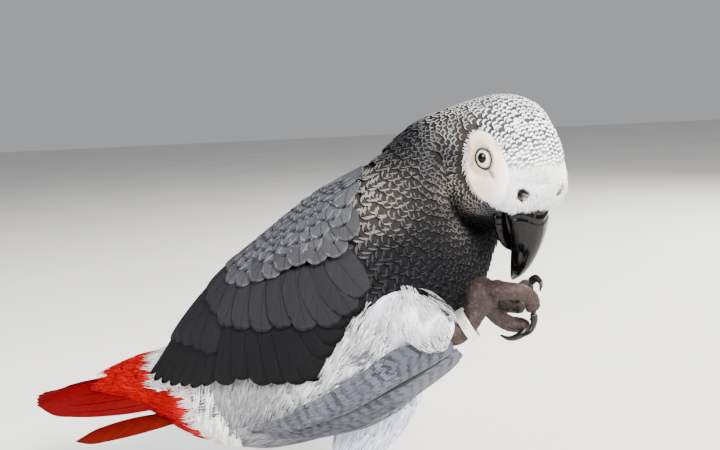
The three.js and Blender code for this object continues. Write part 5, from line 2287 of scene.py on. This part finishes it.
def hanging(here: Array, rising: Array) -> Array:
    """Pull of the flank's plumes: out and down, backwards on the flank and forwards at the knee."""
    back = smoothstep(-60.0, 40.0, here[:, 0])
    knee = smoothstep(28.0, 54.0, here[:, 0])
    return np.stack([-0.35 - 0.35 * back + 1.2 * knee, 0.45 * np.sign(here[:, 1]), -0.9 + 0.2 * back], -1)


def sweeping(here: Array, rising: Array) -> Array:
    """Pull of the belly's long barred feathers: back and a little down."""
    return np.broadcast_to([-0.91, 0.0, -0.41], here.shape)


@dataclass
class Fluff:
    """Soft pale plumes of flank, thighs, belly and vent."""

    def edge_below(self, points: Array) -> Array:
        """Tell which places lie below the folded wing, or just under its lower edge."""
        return ~under_wing(points, 14.0)

    def drapes(self) -> tuple[Drape, ...]:
        """The fields, from the belly outwards."""
        body_flank = lambda p, a, b: (  # noqa: E731
            self.edge_below(p) & (p[:, 0] > -46) & (p[:, 0] < 40) & (p[:, 2] < 114) & (np.abs(p[:, 1]) > 9)
        )
        belly = lambda p, a, b: (p[:, 2] < 82) & (p[:, 0] > -64) & (p[:, 0] < 45)  # noqa: E731
        upper = lambda p, a, b: (b < 204) | (b > 300)  # noqa: E731
        lower = lambda p, a, b: (b > 200) & (b < 304)  # noqa: E731
        vent = lambda p, a, b: (p[:, 0] < -42) & (p[:, 0] > -64) & (p[:, 2] < 92)  # noqa: E731
        down = lambda here, rising: np.broadcast_to([-0.25, 0.0, -1.0], here.shape)  # noqa: E731
        trailing = lambda here, rising: rising  # noqa: E731
        apron = Apron()
        # the flank plumes are white; their grey tones (white below) are painted shade under the wing
        white, grey, blue = (PEWTER, SILVER), (BLUE_SLATE, BLUE_ASH), ("#ccd9f0", "#ebf2ff")
        return (
            Drape(
                "belly_plumes", BODY, (0.1, 0.55), 7.0, 24.0, 11.0, belly, sweeping, 36, 0.1, 0.0, 0.3, 3.0,
                grey
            ),
            Drape(
                "flank_plumes_right", BODY, (0.12, 0.6), 6.5, 22.0, 9.0, lambda p, a,
                b: body_flank(p, a, b) & (p[:, 1] < 0), hanging, 58, 0.1, 0.0, 0.3, 4.0, white
            ),
            Drape(
                "flank_plumes_left", BODY, (0.12, 0.6), 6.5, 22.0, 9.0, lambda p, a,
                b: body_flank(p, a, b) & (p[:, 1] > 0), hanging, 36, 0.1, 0.0, 0.3, 4.0, white
            ),
            Drape(
                "vent_plumes", BODY, (0.1, 0.27), 5.5, 27.0, 9.0, vent, down, 52, 1.3, 0.0, 0.4, 4.0,
                ("#eaeae6", "#fcfcf9")
            ),
            Drape(
                "thigh_plumes_left", STANDING_THIGH, (0.05, 0.93), 6.0, 17.0, 9.0, lambda p, a, b: a > 0,
                lambda h, r: r, 34, 0.1, 0.0, 0.4, 3.0, blue
            ),
            Drape(
                "thigh_underside", RAISED_THIGH, (0.1, 0.9), 7.0, 26.0, 11.0, lower, sweeping, 40, 0.2, 0.0,
                0.25, 3.0, grey
            ),
            Drape(
                "lower_barred_plumes", apron, (0, 0), 0, 92.0, 12.5, lower, trailing, 380, 1.0, 0.9, 0.06,
                1.0, grey, 0.5, 0.5,
                ((0.01, 250, 1.0), (0.03, 255, 0.95), (0.02, 260, 0.88), (0.05, 265, 0.72)),
            ),
            Drape(
                "upper_barred_plumes", apron, (0, 0), 0, 84.0, 11.0, lower, trailing, 380, 3.2, 0.95, 0.05,
                1.0, grey, 0.7, 0.5,
                ((0.02, 206, 1.0), (0.06, 199, 0.9), (0.1, 191, 0.8)),
            ),
            # a near-black plume laid in the gap between the barred bands: a painted shadow line
            Drape(
                "painted_shadow_plume", apron, (0, 0), 0, 92.0, 6.0, lower, trailing, 160, 1.0, 0.01, 0.05, 1.0,
                (SOOT, COAL), 0.0, 0.5,
                ((0.04, 228, 1.0),),
            ),
            # painted shade darkens these plumes towards the thigh's rear
            Drape(
                "thigh_plumes_right", RAISED_THIGH, (0.05, 0.96), 7.0, 20.0, 10.0, upper, hanging, 50, 0.4,
                0.0, 0.3, 4.0, (FOG, "#c6c8cb"), rear_shade=0.6
            ),
        )  # fmt: skip

    def make(self, finish: bpy.types.Material, rng: np.random.Generator) -> None:
        """Build every field."""
        for drape in self.drapes():
            drape.make(finish, rng)


# ---- Head pieces --------------------------------------------------------------------------
UPPER_BILL: tuple[Row, ...] = (
    (12, -4, 4, -19, 8), (20, -10.5, 8, -21, 10), (23.6, -15.5, 11.5, -22.5, 9.8),
    (26, -20.8, 14, -24.5, 8.9), (27.4, -26.5, 16.2, -28.5, 7.8), (27.8, -33, 18, -33.5, 6.5),
    (27.2, -39.5, 19.4, -39, 5), (25.6, -45, 20.4, -43.8, 3.3), (23.4, -49, 20.8, -47.4, 1.6),
    (21.8, -50.6, 21.4, -50, 0.3),
)  # fmt: skip
LOWER_BILL: tuple[Row, ...] = (
    (6, -18, 1, -22, 6.5), (9.6, -24.4, 4, -28, 7.6), (12, -29, 8, -33.2, 7.2),
    (14.6, -33.4, 11.6, -36.8, 5.8), (16.2, -36, 14.6, -38.4, 3.8), (16.8, -38, 16.3, -39, 1),
)  # fmt: skip
TONGUE: tuple[Row, ...] = (
    (6, 0, -21, 3.4, 3), (10.5, 0, -25, 4, 3), (14, 0, -29, 3.6, 2.6), (16, 0, -31.5, 2.6, 2)
)


@dataclass
class Bill:
    """The two horny sheaths and the tongue."""

    around: int = 96
    along: int = 110

    def sheath(self, slices: tuple[Row, ...], relief: Callable[[Array, Array], Array]) -> Shell:
        """A closed sheath through slices of (ridge, edge, half width).

        Round each slice, the place between edge and ridge goes as sin v and the width as
        cos v, a little narrower towards the ridge; relief stands off from the middle.
        """
        rows = np.array(slices)
        share = np.linspace(0, 1, self.along)
        angle = np.radians(np.arange(self.around) * 360.0 / self.around)
        s, v = np.meshgrid(share, angle, indexing="ij")
        row = smooth_rows(np.linspace(0, 1, len(rows)), rows, s)
        closed = np.where((s <= 0) | (s >= 1), 0.0, 1.0)
        reach = closed * np.sin(v)
        wide = closed * row[..., 4] * np.cos(v) * (1 - 0.12 * np.sin(v))
        ahead = (row[..., 0] + row[..., 2]) / 2 + reach * (row[..., 0] - row[..., 2]) / 2
        above = (row[..., 1] + row[..., 3]) / 2 + reach * (row[..., 1] - row[..., 3]) / 2
        points = on_head(ahead, wide, above)
        middle = on_head((row[..., 0] + row[..., 2]) / 2, 0 * wide, (row[..., 1] + row[..., 3]) / 2)
        return capped(points + unit(points - middle) * (relief(s, v) * closed)[..., None])

    def upper_relief(self, s: Array, v: Array) -> Array:
        """Growth lines, flakes near the face and a keel along the ridge."""
        ridge = 0.35 * hump(np.sin(v), 1.0, 0.12) * smoothstep(0.05, 0.3, s)
        flakes = 0.24 * smoothstep(0.36, 0.2, s) * np.sin(s * 95 + 2.5 * np.sin(v * 3)) ** 3
        grooves = -0.1 * np.abs(np.sin(v * 9 + 1.5 * s)) ** 8 * smoothstep(0.8, 0.3, s)
        return ridge + flakes + grooves

    def lower_relief(self, s: Array, v: Array) -> Array:
        """Faint growth lines round the sheath."""
        return 0.06 * np.sin(s * 60 + np.sin(v * 2))

    def make(self) -> None:
        """Build both sheaths and the tongue."""
        horn = Horn("black_bill_horn", "#030303", "#242220", 0.16, 0.2).make()
        place(
            "bill_sheath_upper", self.sheath(UPPER_BILL, self.upper_relief), [horn], "bill", ("bill_upper",)
        )
        place(
            "bill_sheath_lower", self.sheath(LOWER_BILL, self.lower_relief), [horn], "bill", ("bill_lower",)
        )
        stops = tuple((*on_head(f, l, u), w, h) for f, l, u, w, h in TONGUE)
        tongue = tube_shell(Tube(stops, up=tuple(HEAD_UP)), 32, 32)
        place("tongue_flesh", tongue, [Tongue().make()], "tongue", ("tongue",))


@dataclass
class Eyes:
    """Both eyeballs, each with a slightly bulging cornea."""

    bulge: float = 0.35

    gaze: tuple[float, float, float] = (0.2, 0.96, 0.15)

    def ball(self, hand: Hand) -> Shell:
        """A ball whose rings run round the line of sight, with its radius as the map."""
        polar = np.linspace(0, np.pi, 56)
        p, q = np.meshgrid(polar, np.arange(64) * 2 * np.pi / 64, indexing="ij")
        sight = unit(np.array(self.gaze) * np.array([1.0, hand.value, 1.0]))
        right = unit(np.cross(sight, [0.0, 0.0, 1.0]))
        above = np.cross(right, sight)
        radius = EYE_R - 0.1 + self.bulge * smoothstep(0.8, 0.2, p)
        ring = np.cos(q)[..., None] * right + np.sin(q)[..., None] * above
        offset = radius[..., None] * (np.cos(p)[..., None] * sight + np.sin(p)[..., None] * ring)
        offset = offset + np.array([0.0, hand.value * EYE_ASIDE, 0.0])
        shell = capped(on_head(offset[..., 0], offset[..., 1], offset[..., 2]))
        away = in_head(shell.points) - np.array([0.0, hand.value * EYE_ASIDE, 0.0])
        r = np.hypot(away @ right, away @ above)
        r = np.where(away @ sight < 0, 12 - r, r)
        turn = np.arctan2(away @ above, away @ right) / (2 * np.pi) + 0.5
        shell.maps["Iris"] = np.stack([r / 10, turn], -1)
        return shell

    def make(self) -> None:
        """Build both eyes."""
        finish = EyeSurface().make()
        for hand, name in ((Hand.LEFT, "left"), (Hand.RIGHT, "right")):
            place(f"eyeball_{name}", self.ball(hand), [finish], "eye", (f"eye_{name}",))


@dataclass
class Claws:
    """Eight curved claws."""

    def make(self) -> None:
        """Build the claws of both feet."""
        horn = Horn("dark_claw_horn", "#0a090a", "#3a3634", 0.3, 0.3).make()
        for name, paths in (
            ("right", RAISED_CLAWS),
            ("left", tuple(floor_claw(points) for points in STANDING_TOES)),
        ):
            for i, path in enumerate(paths, 1):
                shell = tube_shell(claw_tube(path), 28, 20)
                shell.points[:, 2] = np.maximum(shell.points[:, 2], 0.0)
                place(f"claw_horn_{name}_{i}", shell, [horn], "claw", (f"claw_{name}_{i}",))


@dataclass
class LegRing:
    """A plain closed ring on the raised leg."""

    at: tuple[float, float, float] = (67.6, -33.1, 121.5)
    axis: tuple[float, float, float] = (0.85, 0.18, 0.52)
    outer: float = 7.2
    wall: float = 0.9
    width: float = 4.2
    bevel: float = 0.22
    steps: int = 128

    def make(self) -> None:
        """Turn a rounded oblong profile round the axis."""
        axis = unit(np.array(self.axis))
        a = unit(np.cross([0.0, 1.0, 0.0], axis))
        b = np.cross(axis, a)
        corner = np.linspace(0, np.pi / 2, 4)
        high, wide = self.wall / 2 - self.bevel, self.width / 2 - self.bevel
        profile = []
        for turn, (sx, sy) in enumerate(((1, 1), (-1, 1), (-1, -1), (1, -1))):
            for angle in corner + turn * np.pi / 2:
                profile.append(
                    (sx * high + self.bevel * np.cos(angle), sy * wide + self.bevel * np.sin(angle))
                )
        radial, along = np.array(profile).T
        radius = self.outer - self.wall / 2 + radial
        turn = np.arange(self.steps) * 2 * np.pi / self.steps
        ring = np.cos(turn)[:, None, None] * a + np.sin(turn)[:, None, None] * b
        points = np.array(self.at) + radius[None, :, None] * ring + along[None, :, None] * axis
        faces = grid_faces(self.steps + 1, len(radial), wrap=True, flip=True) % (self.steps * len(radial))
        place("leg_band", Shell(points.reshape(-1, 3), [faces]), [RingMetal().make()], "ring", ("leg_ring",))


# ---- Studio -------------------------------------------------------------------------------
@dataclass
class Studio:
    """Floor, lights and camera."""

    camera_at: tuple[float, float, float] = (115.6, -333.9, 211.5)
    turn: float = 17.0
    down: float = 8.6
    roll: float = 3.2
    lens: float = 37.5

    def floor(self) -> None:
        """A wide level floor at z = 0."""
        side = 6.0
        mesh = bpy.data.meshes.new("floor")
        mesh.from_pydata(
            [(-side, -side, 0), (side, -side, 0), (side, side, 0), (-side, side, 0)], [], [(0, 1, 2, 3)]
        )
        mesh.materials.append(Floor().make())
        floor = bpy.data.objects.new("floor", mesh)
        bpy.context.collection.objects.link(floor)

    def lamp(self, name: str, at: Row, size: float, power: float, colour: str) -> None:
        """A square soft light at a place in metres, aimed at the bird."""
        data = bpy.data.lights.new(name, "AREA")
        data.shape = "SQUARE"
        data.size = size
        data.energy = power
        data.color = linear(colour)
        lamp = bpy.data.objects.new(name, data)
        back = unit(np.array(at) - np.array([0.02, 0.0, 0.13]))
        side = unit(np.cross([0.0, 0.0, 1.0], back))
        up = np.cross(back, side)
        lamp.matrix_world = Matrix(
            [[side[i], up[i], back[i], at[i]] for i in range(3)] + [[0, 0, 0, 1]]
        )
        bpy.context.collection.objects.link(lamp)

    def camera(self) -> None:
        """The camera: turned, tipped down and rolled a little."""
        turn, down, roll = np.radians([self.turn, self.down, self.roll])
        ahead = np.array([-np.sin(turn) * np.cos(down), np.cos(turn) * np.cos(down), -np.sin(down)])
        right = np.array([np.cos(turn), np.sin(turn), 0.0])
        up = np.cross(right, ahead)
        right, up = right * np.cos(roll) - up * np.sin(roll), up * np.cos(roll) + right * np.sin(roll)
        data = bpy.data.cameras.new("camera")
        data.sensor_width = 36.0
        data.lens = self.lens
        data.clip_start = 0.01
        camera = bpy.data.objects.new("camera", data)
        at = np.array(self.camera_at) * MM
        camera.matrix_world = Matrix(
            [[right[i], up[i], -ahead[i], at[i]] for i in range(3)] + [[0, 0, 0, 1]]
        )
        bpy.context.collection.objects.link(camera)
        bpy.context.scene.camera = camera

    def make(self) -> None:
        """Set up the studio."""
        self.floor()
        self.lamp("key_light", (0.8, -0.75, 0.95), 0.45, 88.0, "#fffbf6")
        self.lamp("fill_light", (-1.0, -0.9, 0.6), 0.6, 34.0, "#f4f6ff")
        self.lamp("rim_light", (0.7, 0.9, 0.9), 0.8, 44.0, "#ffffff")
        world = bpy.data.worlds.new("studio")
        world.use_nodes = True
        tree = world.node_tree.nodes["Background"]
        tree.inputs["Color"].default_value = (*linear("#e4e6ea"), 1.0)
        tree.inputs["Strength"].default_value = 0.5
        bpy.context.scene.world = world
        self.camera()


def main() -> None:
    """Build the bird and its studio."""
    logging.basicConfig(level=logging.INFO, format="%(message)s")
    Studio().make()
    parrot = Parrot()
    parrot.skin()
    parrot.contour()
    parrot.plush()
    for hand in Hand:
        Wing(hand).make(parrot.wing_plumage, parrot.rng)
    Tail().make(parrot.tail_plumage, parrot.rng)
    Fluff().make(parrot.down, parrot.rng)
    Bill().make()
    Eyes().make()
    Claws().make()
    LegRing().make()


if __name__ == "__main__":
    main()
